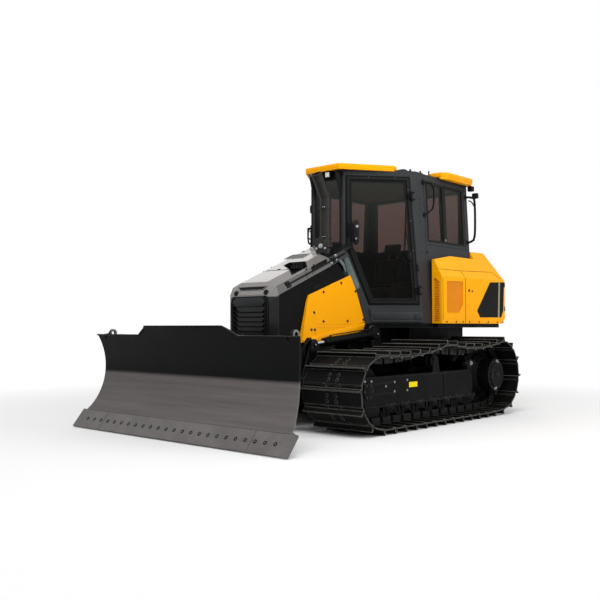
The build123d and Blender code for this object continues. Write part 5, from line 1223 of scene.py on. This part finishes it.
class DOZER_OT_roof(Step, bpy.types.Operator):
    """Lay the roof's brims with rounded edges, and its masts, caps and lamps"""

    bl_idname = "dozer.roof"
    bl_label = "Roof"

    def build(self):
        brim = Shape()
        outer = both_sides([(0.256, -0.580), (0.642, -0.014), (0.640, 0.020), (0.600, 0.100)])
        inner = both_sides([(0.150, -0.300), (0.470, 0.060), (0.480, 0.085), (0.500, 0.095)])
        brim.ring(outer, inner, flat_at(2.9455), 0.0535, size=0.012)
        brim.ring(outer, moved_in(outer, 0.030), flat_at(2.931), 0.016, size=0.005)
        brim.plate(moved_in(outer, 0.029), flat_at(2.9462), 0.004, size=0, paint=1)
        brim.piece("front_brim", "machine", "yellow_enamel", "black_enamel",
                   stands_for=["roof_visor_front"], slot="yellow_paint")

        back = Shape()
        back.plate([(0.642, 0.735), (0.825, 0.735), (0.887, 0.825), (0.887, 1.400), (0.828, 1.496),
                    (0.642, 1.496)], flat_at(2.952), 0.060, size=0.012)
        back.plate([(0.795, 0.740), (0.825, 0.740), (0.879, 0.825), (0.879, 1.388), (0.820, 1.480),
                    (0.795, 1.480)], flat_at(2.926), 0.03, size=0.006)
        back.mirror()
        back.block((-0.66, 1.31, 2.9515), (0.66, 1.496, 3.011), size=0.012)
        back.block((-0.79, 1.445, 2.926), (0.79, 1.479, 2.95), size=0.006)
        back.piece("rear_brim", "machine", "yellow_enamel", stands_for=["roof_visor_rear"],
                   slot="yellow_paint")

        caps = Shape()
        for station, tall in ((0.564, 3.006), (0.778, 3.018)):
            caps.bar((0.755, station, 2.90), (0.755, station, tall), 0.009, sides=12)
            caps.block((0.735, station - 0.018, 2.90), (0.775, station + 0.018, 2.955), size=0.006)
        for station, tall in ((0.24, 0.045), (0.46, 0.055)):
            caps.lathe([(0, 0.022), (0.008, 0.022), (0.012, 0.014), (tall - 0.006, 0.012), (tall, 0.006),
                        (tall, 0)], (0.70, station, 2.945), UP, sides=16)
        caps.blocks([(0.60, 0.10, 2.946, 0.70, 0.18, 2.972), (0.66, 0.28, 2.946, 0.74, 0.46, 2.966)],
                    size=0.006)
        caps.bar((-0.45, 0.95, 2.975), (-0.45, 0.95, 2.997), 0.035, 0.026, sides=24)
        # air inlet grille on the roof's crown
        caps.block((-0.28, 0.62, 2.972), (0.28, 1.02, 2.990), size=0.008)
        for i in range(12):
            y = 0.66 + i * 0.030
            caps.block((-0.25, y, 2.988), (0.25, y + 0.012, 2.996), size=0.002, paint=1)
        caps.piece("roof_fittings", "machine", "cab_powder_coat", "abs_plastic", slot="cab_paint")

        lamp = Shape()
        # columns: low and high X, lens station, which way it looks, low and high edge
        for x0, x1, station, look, low, high in ((0.020, 0.100, -0.552, -1, 2.850, 2.928),
                                                 (0.800, 0.872, 1.477, 1, 2.858, 2.924)):
            back = station - look * 0.060
            y0, y1 = sorted((station, back))
            lamp.block((x0, y0, low), (x1, y1, high), size=0.008)
            y0, y1 = sorted((station - look * 0.002, station + look * 0.005))
            lamp.block((x0 + 0.010, y0, low + 0.010), (x1 - 0.010, y1, high - 0.010), paint=1)
            lamp.bar(((x0 + x1) / 2, back, high - 0.004), ((x0 + x1) / 2, back, high + 0.02), 0.010, sides=10)
        lamp.mirror()
        lamp.piece("work_lamp_heads", "machine", "abs_plastic", "lamp_glass", stands_for=["work_lamps"],
                   slot="black_plastic")


class DOZER_OT_handrails(Step, bpy.types.Operator):
    """Bend the grab rails at the cab's posts and its rear corners"""

    bl_idname = "dozer.handrails"
    bl_label = "Handrails"

    def build(self):
        rail = Shape()
        rail.pipe([side_face(1.40, 2.78, -0.005), (0.855, 1.452, 2.79), (0.888, 1.46, 2.745),
                   (0.888, 1.46, 2.245), (0.850, 1.445, 2.192), (cab_side(2.19) - 0.005, 1.40, 2.182)],
                  sizes().rail_radius, bend=0.05)
        rail.pipe([(cab_side(2.85) - 0.004, 0.395, 2.838), (0.842, 0.425, 2.845), (0.884, 0.470, 2.810),
                   (0.890, 0.470, 2.560), (0.862, 0.440, 2.475), side_face(0.395, 2.440, -0.004)], 0.011,
                  bend=0.045)
        for spot in ((1.40, 2.78), (1.40, 2.182), (0.395, 2.838), (0.395, 2.440)):
            rail.lathe([(-0.002, 0.030), (0.006, 0.030), (0.008, 0.018)], side_face(*spot), SIDE_OUT,
                       sides=20)
        # rear lamp on the loop, with its bracket
        rail.block((0.838, 1.462, 2.765), (0.915, 1.515, 2.835), size=0.010, paint=1)
        rail.block((0.846, 1.514, 2.773), (0.907, 1.519, 2.827), size=0.002, paint=2)
        rail.bar((0.876, 1.46, 2.73), (0.876, 1.485, 2.77), 0.009, sides=10, paint=1)
        # folded mirror arm under it
        rail.pipe([(0.80, 1.442, 2.74), (0.835, 1.475, 2.73), (0.86, 1.49, 2.66)], 0.008, bend=0.02, paint=1)
        rail.mirror()
        rail.piece("grab_rails", "machine", "black_enamel", "abs_plastic", "lamp_glass",
                   stands_for=["handrails"], slot="black_paint")


# ---------------------------------------------------------------- inside the cab
def stuffed(obj, cap):
    """Swells a pad with a cloth simulation and keeps each point within a cap."""
    scene = bpy.context.scene
    rough = obj.modifiers.new("remesh", "REMESH")
    rough.mode = "VOXEL"
    rough.voxel_size = 0.012
    bpy.context.view_layer.objects.active = obj
    apply_modifiers(obj)
    rest = [v.co.copy() for v in obj.data.vertices]
    cloth = obj.modifiers.new("cloth", "CLOTH")
    cloth.settings.use_pressure = True
    cloth.settings.uniform_pressure_force = 4.0
    cloth.settings.effector_weights.gravity = 0.0
    for number in range(1, 21):
        scene.frame_set(number)
    apply_modifiers(obj)
    for vertex, place in zip(obj.data.vertices, rest):
        run = vertex.co - place
        if run.length > cap:
            vertex.co = place + run.normalized() * cap
    scene.frame_set(1)


def apply_modifiers(obj):
    """Bakes an object's modifiers into its mesh."""
    view = bpy.context.evaluated_depsgraph_get()
    mesh = bpy.data.meshes.new_from_object(obj.evaluated_get(view))
    old = obj.data
    obj.modifiers.clear()
    obj.data = mesh
    bpy.data.meshes.remove(old)


class DOZER_OT_seat(Step, bpy.types.Operator):
    """Upholster the operator's seat: a crowned cushion, a back with bolsters, and a headrest"""

    bl_idname = "dozer.seat"
    bl_label = "Operator's seat"

    def build(self):
        foot, turn = Vector((0, 0.77, 1.60)), Matrix.Rotation(radians(-10.5), 4, "X")
        lean = Matrix.Translation(foot) @ turn
        # The pads are drawn at the machine's own Y, so that their stuffing starts from the same grid.
        # columns: name, two corners, edge radius, how far it swells, whether it leans with the back
        for name, low, high, size, cap, leans in (
                ("seat_cushion", (-0.215, 0.325, 1.500), (0.215, 0.740, 1.565), 0.030, 0.022, False),
                ("seat_bolster_left", (0.175, 0.330, 1.515), (0.240, 0.730, 1.580), 0.026, 0.010, False),
                ("seat_bolster_right", (-0.240, 0.330, 1.515), (-0.175, 0.730, 1.580), 0.026, 0.010, False),
                ("seat_back", (-0.195, -0.035, 0.02), (0.195, 0.035, 0.40), 0.030, 0.018, True),
                ("back_bolster_left", (0.165, -0.045, 0.04), (0.230, 0.030, 0.38), 0.028, 0.010, True),
                ("back_bolster_right", (-0.230, -0.045, 0.04), (-0.165, 0.030, 0.38), 0.028, 0.010, True),
                ("headrest", (-0.125, -0.030, 0.435), (0.125, 0.030, 0.585), 0.026, 0.012, True)):
            low, high = Vector(low), Vector(high)
            if not leans:
                low.y, high.y = low.y + TRACK_Y, high.y + TRACK_Y
            self.pad(name, low, high, size, cap,
                     Matrix.Translation(foot + AFT * TRACK_Y) @ turn if leans else Matrix())
        shell = Shape()
        shell.block((-0.235, 0.32, 1.482), (0.235, 0.79, 1.503), size=0.008)
        shell.block((-0.21, 0.037, 0.01), (0.21, 0.059, 0.41), size=0.009, place=lean)
        for x in (-0.07, 0.07):
            shell.bar(lean @ Vector((x, 0.03, 0.38)), lean @ Vector((x, 0.02, 0.47)), 0.007, sides=10,
                      paint=1)
        # belt latch
        shell.block((0.225, 0.66, 1.50), (0.247, 0.71, 1.60), size=0.006)
        shell.piece("seat_shell", "machine", "abs_plastic", "zinc_plate", stands_for=["seat"],
                    slot="black_plastic")

    @staticmethod
    def pad(name, low, high, size, cap, place):
        """One stuffed pad between two corners of a placing in the machine's own Y."""
        shape = Shape()
        shape.block(low, high, size * 0.8, place=place, segments=3)
        obj = placed(name, shape.mesh(name, ("seat_cloth",), sharp=180))
        stuffed(obj, cap)
        obj.data.materials.clear()
        obj.data.materials.append(coat("seat_cloth"))
        obj.data.shade_smooth()
        smooth = obj.modifiers.new("smooth", "SUBSURF")
        smooth.levels = smooth.render_levels = 1
        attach(obj, "machine")


class DOZER_OT_controls(Step, bpy.types.Operator):
    """Fit the armrest consoles, their levers, the dash with its display and the pedals"""

    bl_idname = "dozer.controls"
    bl_label = "Controls"

    def build(self):
        kit = Shape()
        for side in (-1, 1):
            kit.plate([(0.31, 1.15), (0.79, 1.15), (0.79, 1.66), (0.72, 1.68), (0.38, 1.64), (0.31, 1.52)],
                      sideways(side * 0.38 - 0.068), 0.136, size=0.014)
            x = side * 0.38
            kit.block((x - 0.045, 0.46, 1.655), (x + 0.045, 0.77, 1.70), size=0.018, paint=1)
            # lever with its boot and grip
            kit.lathe([(0, 0.034), (0.018, 0.030), (0.026, 0.022), (0.038, 0.020), (0.046, 0.012),
                       (0.06, 0.010)], (x, 0.37, 1.63), UP, sides=20, paint=2)
            kit.lathe([(0, 0.010), (0.02, 0.019), (0.07, 0.022), (0.10, 0.026), (0.122, 0.022),
                       (0.132, 0.010), (0.134, 0)], (x, 0.368, 1.695), UP, sides=20, paint=1)
            for i in range(3):
                y = 0.50 + 0.05 * i
                kit.bar((x - 0.03, y, 1.70), (x - 0.03, y, 1.712), 0.008, sides=10, paint=1)
        # dash with its cowl and display, and two pedals
        kit.plate([(-0.329, 1.14), (-0.20, 1.14), (-0.179, 1.62), (-0.20, 1.84), (-0.26, 1.895),
                   (-0.329, 1.895)], sideways(-0.118), 0.236, size=0.016)
        slope = facing((0, -0.189, 1.735), (0, 1, 0.1))
        kit.plate(oblong(0.09, 0.07), raised(slope, -0.002), 0.014, size=0.006, paint=1)
        kit.plate(oblong(0.075, 0.055), raised(slope, 0.008), 0.006, size=0.001, paint=2)
        for x in (-0.055, 0.055):
            kit.block((x - 0.03, -0.150, 1.24), (x + 0.03, -0.138, 1.33), size=0.004, paint=1)
            kit.bar((x, -0.185, 1.20), (x, -0.145, 1.27), 0.008, sides=10, paint=1)
        kit.piece("control_consoles", "machine", "trim_grey", "abs_plastic", "gasket_rubber",
                  stands_for=["consoles"], slot="black_plastic")


# ---------------------------------------------------------------- bodywork
BODY_X = 1.0
FOLD = (1.700, 2.0)             # height where the side folds over, and the slope's run


def slope_face(station, height):
    """A point just over the yellow slope above the body's side."""
    return Vector((BODY_X - (height - FOLD[0]) / FOLD[1] + 0.0005, station, height))


class DOZER_OT_bodywork(Step, bpy.types.Operator):
    """Add the louvres, mesh, seams, latches and bolts of the side pods and the rear cowl"""

    bl_idname = "dozer.bodywork"
    bl_label = "Bodywork fittings"

    def build(self):
        fit = Shape()
        # slats in the slot of each pod's front face, and the slot's frame; the slats' deeper yellow is
        # painted shade
        count = sizes().louvres
        for i in range(count):
            z = 1.172 + i * 0.460 / (count - 1)
            fit.block((0.898, 0.452, z - 0.003), (0.967, 0.468, z + 0.005), size=0, paint=2,
                      turn=Matrix.Rotation(radians(-30), 4, "X"))
        fit.ring([(0.898, 1.158), (0.967, 1.158), (0.967, 1.640), (0.898, 1.688)],
                 [(0.902, 1.162), (0.963, 1.162), (0.963, 1.637), (0.902, 1.682)],
                 facing((0, 0.4485, 0), FORE), 0.004, size=0.001)
        # wire mesh in the recess of the side, whose lower rear corner is cut off; its deeper yellow is
        # painted shade
        x, low, high, cut, end = BODY_X - 0.012, 1.262, 1.645, 0.851, 0.952
        for i in range(44):
            step = i * 0.0088
            station, z = 0.574 + step, 1.266 + step
            if station < end:
                foot = low + max(0.0, station - cut) * 0.95
                fit.wire((x, station, foot), (x, station, high), 0.0013, 2, sides=4)
            right = end if z > 1.357 else cut + (z - 1.261) * 1.05
            fit.wire((x + 0.001, 0.568, z), (x + 0.001, right, z), 0.0013, 2, sides=4)
        # seams: pod to cowl, the front edge, and those on the slope
        for station, z0, z1 in ((1.004, 1.14, 1.69), (0.475, 1.172, 1.676)):
            x = BODY_X + 0.0005
            fit.wire((x, station, z0), (x, station, z1), 0.0028, 3)
        for a, b in (((0.46, 1.786), (0.955, 1.786)), ((0.955, 1.786), (1.780, 1.812)),
                     ((1.780, 1.812), (1.955, 1.728)), ((0.955, 1.786), (1.003, 1.690))):
            fit.wire(slope_face(*a), slope_face(*b), 0.0026, 3)
        # latch near the front of the cowl's door, hinges at its rear
        fit.lathe([(-0.001, 0.019), (0.004, 0.019), (0.006, 0.014), (0.003, 0.011), (0.003, 0)],
                  (BODY_X, 1.095, 1.545), sides=20, paint=1)
        fit.bolt((BODY_X, 1.173, 1.537), OUT, 0.016, 1)
        for z in (1.30, 1.62):
            fit.bar((BODY_X + 0.002, 2.030, z), (BODY_X + 0.002, 2.030, z + 0.06), 0.008, sides=12, paint=1)
        # the bare dark shape on the flank, with its pale stripe
        fit.plate([(1.293, 1.295), (1.365, 1.209), (1.934, 1.214), (1.996, 1.306), (2.023, 1.687),
                   (1.636, 1.670)], sideways(BODY_X - 0.0005), 0.0012, size=0, paint=4)
        fit.plate([(1.845, 1.213), (1.885, 1.213), (1.911, 1.683), (1.871, 1.681)],
                  sideways(BODY_X - 0.0004), 0.0015, size=0, paint=5)
        # bolts along the body's toe
        fit.bolts([(BODY_X, station, 1.150) for station in (0.56, 0.78, 0.94, 1.10, 1.34, 1.58, 1.82, 1.98)],
                  OUT, 0.014, 1)
        fit.mirror()
        fit.piece("body_fittings", "machine", "yellow_enamel", "black_oxide", "yellow_mesh_painted_shade", "gasket_rubber",
                  "black_enamel", "olive_enamel", slot="yellow_paint")
        self.deck()
        self.rear()

    @staticmethod
    def deck():
        """Raised tread on the deck in front of the doors."""
        tread = Shape()
        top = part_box("deck")[1].z
        for row in range(9):
            for column in range(26):
                x = 0.46 + row * 0.048 + (0.024 if column % 2 else 0)
                y = -0.42 + column * 0.034
                if x < 0.862 and y < 0.44:
                    turn = Matrix.Rotation(radians(45 if (row + column) % 2 else -45), 4, "Z")
                    tread.block((x - 0.011, y - 0.003, top - 0.001), (x + 0.011, y + 0.003, top + 0.002),
                                size=0, turn=turn)
        tread.mirror()
        tread.piece("deck_tread", "machine", "chassis_black", slot="black_paint")

    @staticmethod
    def rear():
        """Radiator fins and rows, and the rear door's latch, grip and bolts."""
        fins = Shape()
        low, high = station_box("radiator")
        y = high.y
        for i in range(90):
            x = low.x + 0.03 + (high.x - low.x - 0.06) * i / 89
            fins.block((x - 0.0012, y - 0.002, low.z + 0.03), (x + 0.0012, y + 0.004, high.z - 0.03), size=0)
        for i in range(11):
            z = low.z + 0.05 + (high.z - low.z - 0.10) * i / 10
            fins.wire((low.x + 0.02, y + 0.004, z), (high.x - 0.02, y + 0.004, z), 0.006, sides=8)
        fins.piece("radiator_fins", "machine", "fin_aluminium", slot="engine_iron")

        grip = Shape()
        low, high = station_box("rear_door")
        y = high.y
        grip.block((0.47, y - 0.004, 1.36), (0.55, y + 0.012, 1.47), size=0.006)
        grip.pipe([(0.51, y + 0.008, 1.375), (0.51, y + 0.045, 1.385), (0.51, y + 0.045, 1.445),
                   (0.51, y + 0.008, 1.455)], 0.008, bend=0.02, paint=1)
        grip.bolts([(0.56, y - 0.002, z) for z in (1.26, 1.56)], AFT, 0.018, 1)
        grip.bolts([(x, y - 0.001, z) for x in (-0.50, -0.17, 0.17, 0.44)
                    for z in (low.z + 0.022, high.z - 0.022)], AFT, 0.013, 1)
        grip.piece("rear_door_fittings", "rear_door", "black_enamel", "black_oxide", slot="black_paint")


# ---------------------------------------------------------------- cylinders and the blade's carrier
class DOZER_OT_cylinders(Step, bpy.types.Operator):
    """Add each cylinder's gland, hard line, pin covers and rod collar, on its own bodies"""

    bl_idname = "dozer.cylinders"
    bl_label = "Cylinders"

    def build(self):
        # columns: name, base pin, rod pin, length and radius of the barrel
        for name, base, tip, length, radius in (
                ("lift_left", (0.500, -0.247, 1.007), (0.500, *LIFT_PIN), 0.830, 0.048),
                ("lift_right", (-0.500, -0.247, 1.007), (-0.500, *LIFT_PIN), 0.830, 0.048),
                ("angle_left", (0.385, -1.600, 0.500), (0.400, -2.312, 0.500), 0.395, 0.042),
                ("angle_right", (-0.385, -1.600, 0.500), (-0.400, -2.312, 0.500), 0.395, 0.042),
                ("tilt", (-0.120, -2.318, 0.800), (0.470, -2.318, 0.800), 0.330, 0.040)):
            base, tip = Vector(base), Vector(tip)
            run = (tip - base).normalized()
            side = OUT if base.x > 0 else -OUT
            self.barrel(name, base, base + run * length, run, side, radius)
            if not name.startswith("angle"):        # the angle cylinders close too far for a collar
                self.collar(name, tip, run, side)

    @staticmethod
    def barrel(name, base, end, run, side, radius):
        """What a barrel carries."""
        ram = Shape()
        # gland at the barrel's mouth, and the weld at its foot
        ram.lathe([(-0.034, radius), (-0.032, radius + 0.007), (-0.004, radius + 0.007),
                   (0.0, radius + 0.003), (0.002, radius * 0.62), (-0.002, radius * 0.56)], end, run)
        ram.lathe([(0.0, radius), (0.004, radius + 0.005), (0.014, radius + 0.005), (0.018, radius)],
                  base + run * (radius + 0.03), run)
        # hard line along the barrel with its two blocks
        over = (UP - run * run.z).normalized()
        start = base + run * (radius + 0.05) + over * (radius + 0.004)
        stop = end - run * 0.05 + over * (radius + 0.004)
        ram.pipe([start, start + over * 0.012 + run * 0.02, stop + over * 0.012 - run * 0.02, stop], 0.006,
                 bend=0.012, paint=1)
        for spot in (start, stop):
            ram.bar(spot - over * 0.008, spot + over * 0.014, 0.013, sides=12)
        if name.startswith("lift"):
            ram.lathe([(-0.055, 0), (-0.055, 0.070), (-0.045, 0.082), (0.045, 0.082), (0.055, 0.070),
                       (0.058, 0.026), (0.066, 0.024), (0.066, 0)], base, side, sides=36)
            ram.wire(base + side * 0.064, base + side * 0.074, 0.008, 2, sides=8)
            # hose union over the pin, with the bend that feeds the hard line
            top = base + over * 0.070 - run * 0.01
            ram.block(top - Vector((0.03, 0.05, 0.012)), top + Vector((0.03, 0.05, 0.028)), size=0.006)
            ram.pipe([top + side * 0.02 + over * 0.02, top + side * 0.03 + over * 0.045 + run * 0.05,
                      start + side * 0.02 + over * 0.02], 0.009, paint=1)
        ram.piece(f"{name}_barrel_fittings", f"{name}_barrel", "black_enamel", "black_oxide", "zinc_plate",
                  slot="black_paint")

    @staticmethod
    def collar(name, tip, run, side):
        """The collar of a rod's eye, with the lift cylinders' pin covers."""
        nose = Shape()
        nose.lathe([(-0.028, 0.012), (-0.028, 0.030), (-0.022, 0.033), (0.0, 0.033), (0.004, 0.028)],
                   tip - run * 0.045, run, sides=24)
        if name.startswith("lift"):
            nose.lathe([(-0.040, 0), (-0.040, 0.050), (-0.034, 0.056), (0.034, 0.056), (0.040, 0.050),
                        (0.040, 0)], tip, side)
        nose.piece(f"{name}_rod_collar", f"{name}_rod", "black_enamel", slot="black_paint")


class DOZER_OT_carrier(Step, bpy.types.Operator):
    """Add the C-frame's pin caps, weld lines and hoses, and the lifting eyes' rings"""

    bl_idname = "dozer.carrier"
    bl_label = "Blade carrier"

    def build(self):
        arms = Shape()
        arms.wire((0.548, -2.00, 0.426), (0.548, -0.20, 0.426), 0.006, sides=8)
        arms.wire((0.432, -1.60, 0.426), (0.432, -0.20, 0.426), 0.006, sides=8)
        # caps on the lift tower, its pin and retainer, and the hoses that cross to the angle cylinders
        pin = Vector((0.545, *LIFT_PIN))
        for x, way in ((0.448, -OUT), (0.552, OUT)):
            arms.lathe([(-0.002, 0.040), (0.006, 0.039), (0.009, 0.030), (0.010, 0)], (x, *pin.yz), way,
                       sides=24, paint=1)
        arms.lathe([(0, 0.060), (0.020, 0.060), (0.026, 0.052), (0.028, 0.030), (0.036, 0.028), (0.036, 0)],
                   pin, sides=28)
        arms.wire(pin + OUT * 0.034, pin + OUT * 0.044, 0.009, 2, sides=8)
        arms.block((0.555, -1.43, 0.80), (0.575, -1.31, 0.885), size=0.006)
        for shift in (0.0, 0.035):
            arms.pipe([(0.50 + shift, -1.40, 0.965), (0.53 + shift, -1.47, 0.955),
                       (0.56, -1.53 - shift, 0.86), (0.52, -1.50 - shift, 0.72), (0.46, -1.46, 0.60)], 0.013,
                      bend=0.06)
        arms.mirror()
        arms.piece("carrier_fittings", "c_frame", "black_enamel", "black_oxide", "zinc_plate",
                   slot="black_paint")

        eyes = Shape()
        for x in (-1.36, 1.36):
            for way in (-OUT, OUT):
                eyes.lathe([(0, 0.043), (0.004, 0.042), (0.005, 0.028), (0.001, 0.027), (0.001, 0.022)],
                           Vector((x, *EYE_HOLE)) + way * 0.013, way, sides=24)
        eyes.piece("lifting_eye_rings", "blade", "worn_iron", slot="black_paint")


# ---------------------------------------------------------------- finishes and the studio
FINISHES = {
    "yellow_enamel": "rear_cowl side_pods side_panels",
    "cab_powder_coat": "cab_frame roof",
    "hood_enamel_painted_sheen": "hood_top",
    "nose_enamel_painted_sheen": "hood_nose",
    "stack_steel": "exhaust_stack",
    "chassis_black": "track_frames main_frame final_drives drawbar deck idlers track_rollers sprockets "
                     "c_frame blade_yoke",
    "tinted_glass": "cab_glass door_glass_left door_glass_right",
    "cast_iron": "engine_block radiator",
    "abs_plastic": "seat_base",
    "blade_enamel_and_sky_reflection": "moldboard",
    "edge_steel": "cutting_edge",
}


class DOZER_OT_finishes(Step, bpy.types.Operator):
    """Coat every solid of the frame with its own finish"""

    bl_idname = "dozer.finishes"
    bl_label = "Finishes"

    def build(self):
        chosen = {name: key for key, names in FINISHES.items() for name in names.split()}
        for name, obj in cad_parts.items():
            plain = "hard_chrome" if name.endswith("_rod") else "black_enamel"
            obj.data.materials.clear()
            obj.data.materials.append(coat(chosen.get(name, plain)))


def seen(tree, ray):
    """One where the eye looks, straight or through glass."""
    return maths(tree, "MAXIMUM", ray["Is Camera Ray"], ray["Is Transmission Ray"])


LENS = 46.8                     # mm, on a sensor 36 mm wide
CAMERA_PLACE = (5.944, -7.226, 1.087)
CAMERA_TURN = (91.98, 0, 41.85)         # degrees


class DOZER_OT_studio(Step, bpy.types.Operator):
    """Set the floor, the soft lights, the backdrop and the camera"""

    bl_idname = "dozer.studio"
    bl_label = "Studio"

    def build(self):
        scene = bpy.context.scene
        self.floor(scene.dozer_colours)
        self.sky(scene)
        self.lights()
        camera = bpy.data.cameras.new("camera")
        camera.lens = LENS
        camera.sensor_width = 36.0
        camera.clip_end = 200.0
        scene.camera = placed("camera", camera)
        scene.camera.location = CAMERA_PLACE
        scene.camera.rotation_euler = [radians(angle) for angle in CAMERA_TURN]
        scene.view_settings.view_transform = "Standard"

    @staticmethod
    def floor(colours):
        """A pale floor whose far parts fade to the backdrop for the eye and for reflections."""
        slab = Shape()
        bmesh.ops.create_grid(slab.bm, x_segments=2, y_segments=2, size=60.0)
        made, tree, shader = blank("studio_floor")
        feed(tree, shader, Base_Color=colours.floor, Roughness=0.9, Specular_IOR_Level=0.1)
        away = node(tree, "ShaderNodeVectorMath", {0: object_place(tree)}, operation="LENGTH")
        fade = ramp(tree, away.outputs["Value"], 2.2, 7.0)
        ray = node(tree, "ShaderNodeLightPath").outputs
        share = maths(tree, "MULTIPLY", fade, maths(tree, "MAXIMUM", seen(tree, ray), ray["Is Glossy Ray"]))
        white = node(tree, "ShaderNodeEmission", {"Color": tuple(colours.sky)})
        mix = node(tree, "ShaderNodeMixShader", {0: share, 1: shader.outputs[0], 2: white.outputs[0]})
        out = next(n for n in tree.nodes if n.type == "OUTPUT_MATERIAL")
        tree.links.new(mix.outputs[0], out.inputs["Surface"])
        obj = placed("studio_floor", slab.mesh("studio_floor"))
        obj.data.materials.append(made)

    @staticmethod
    def sky(scene):
        """White for the eye, a pale vault for reflections, a low even light for everything else."""
        scene.world = bpy.data.worlds.new("studio")
        tree = cleared(scene.world)
        ray = node(tree, "ShaderNodeLightPath").outputs
        way = parts(tree, node(tree, "ShaderNodeTexCoord").outputs["Generated"])
        shine = maths(tree, "MULTIPLY", ramp(tree, way["Z"], 0.08, 0.5, 0.4, 1.0), ray["Is Glossy Ray"])
        soft = maths(tree, "MULTIPLY", ray["Is Diffuse Ray"], 0.55)
        total = maths(tree, "MAXIMUM", maths(tree, "MAXIMUM", seen(tree, ray), shine), soft)
        light = node(tree, "ShaderNodeBackground", {"Color": tuple(scene.dozer_colours.sky),
                                                    "Strength": total})
        node(tree, "ShaderNodeOutputWorld", {"Surface": light.outputs[0]})

    @staticmethod
    def lights():
        """One broad overhead key, a soft fill from the left and a low rim."""
        for name, spot, size, power in (("key", (3.0, -4.0, 8.0), 6.0, 420.0),
                                        ("fill", (7.5, 1.5, 4.0), 5.0, 190.0),
                                        ("rim", (-6.0, 5.0, 6.0), 5.0, 60.0)):
            lamp = bpy.data.lights.new(name, "AREA")
            lamp.shape = "DISK"
            lamp.size = size
            lamp.energy = power
            holder = placed(name, lamp)
            holder.location = spot
            holder.rotation_euler = (UP - Vector(spot)).to_track_quat("-Z", "Y").to_euler()


class DOZER_PT_panel(bpy.types.Panel):
    """The dozer's sizes, colours and building steps"""

    bl_label = "Dozer"
    bl_idname = "DOZER_PT_panel"
    bl_space_type = "VIEW_3D"
    bl_region_type = "UI"
    bl_category = "Dozer"

    def draw(self, context):
        layout = self.layout
        for group in (context.scene.dozer_sizes, context.scene.dozer_colours):
            for key in group.bl_rna.properties.keys():
                if key not in ("rna_type", "name"):
                    layout.prop(group, key)
        for step in STEPS:
            layout.operator(step.bl_idname)


STEPS = (DOZER_OT_tracks, DOZER_OT_undercarriage, DOZER_OT_blade, DOZER_OT_hood, DOZER_OT_stack,
         DOZER_OT_doors, DOZER_OT_cab, DOZER_OT_roof, DOZER_OT_handrails, DOZER_OT_seat, DOZER_OT_controls,
         DOZER_OT_bodywork, DOZER_OT_cylinders, DOZER_OT_carrier, DOZER_OT_finishes, DOZER_OT_studio)
CLASSES = (DozerSizes, DozerColours, *STEPS, DOZER_PT_panel)


def register():
    """Adds the classes and the scene's settings."""
    for cls in CLASSES:
        bpy.utils.register_class(cls)
    bpy.types.Scene.dozer_sizes = PointerProperty(type=DozerSizes)
    bpy.types.Scene.dozer_colours = PointerProperty(type=DozerColours)


def unregister():
    """Takes them away again."""
    del bpy.types.Scene.dozer_colours
    del bpy.types.Scene.dozer_sizes
    for cls in reversed(CLASSES):
        bpy.utils.unregister_class(cls)


def main():
    """Builds the dressed machine step by step."""
    register()
    bpy.ops.dozer.tracks()
    bpy.ops.dozer.undercarriage()
    bpy.ops.dozer.blade()
    bpy.ops.dozer.hood()
    bpy.ops.dozer.stack()
    bpy.ops.dozer.doors()
    bpy.ops.dozer.cab()
    bpy.ops.dozer.roof()
    bpy.ops.dozer.handrails()
    bpy.ops.dozer.seat()
    bpy.ops.dozer.controls()
    bpy.ops.dozer.bodywork()
    bpy.ops.dozer.cylinders()
    bpy.ops.dozer.carrier()
    bpy.ops.dozer.finishes()
    bpy.ops.dozer.studio()


if __name__ == "__main__":
    main()
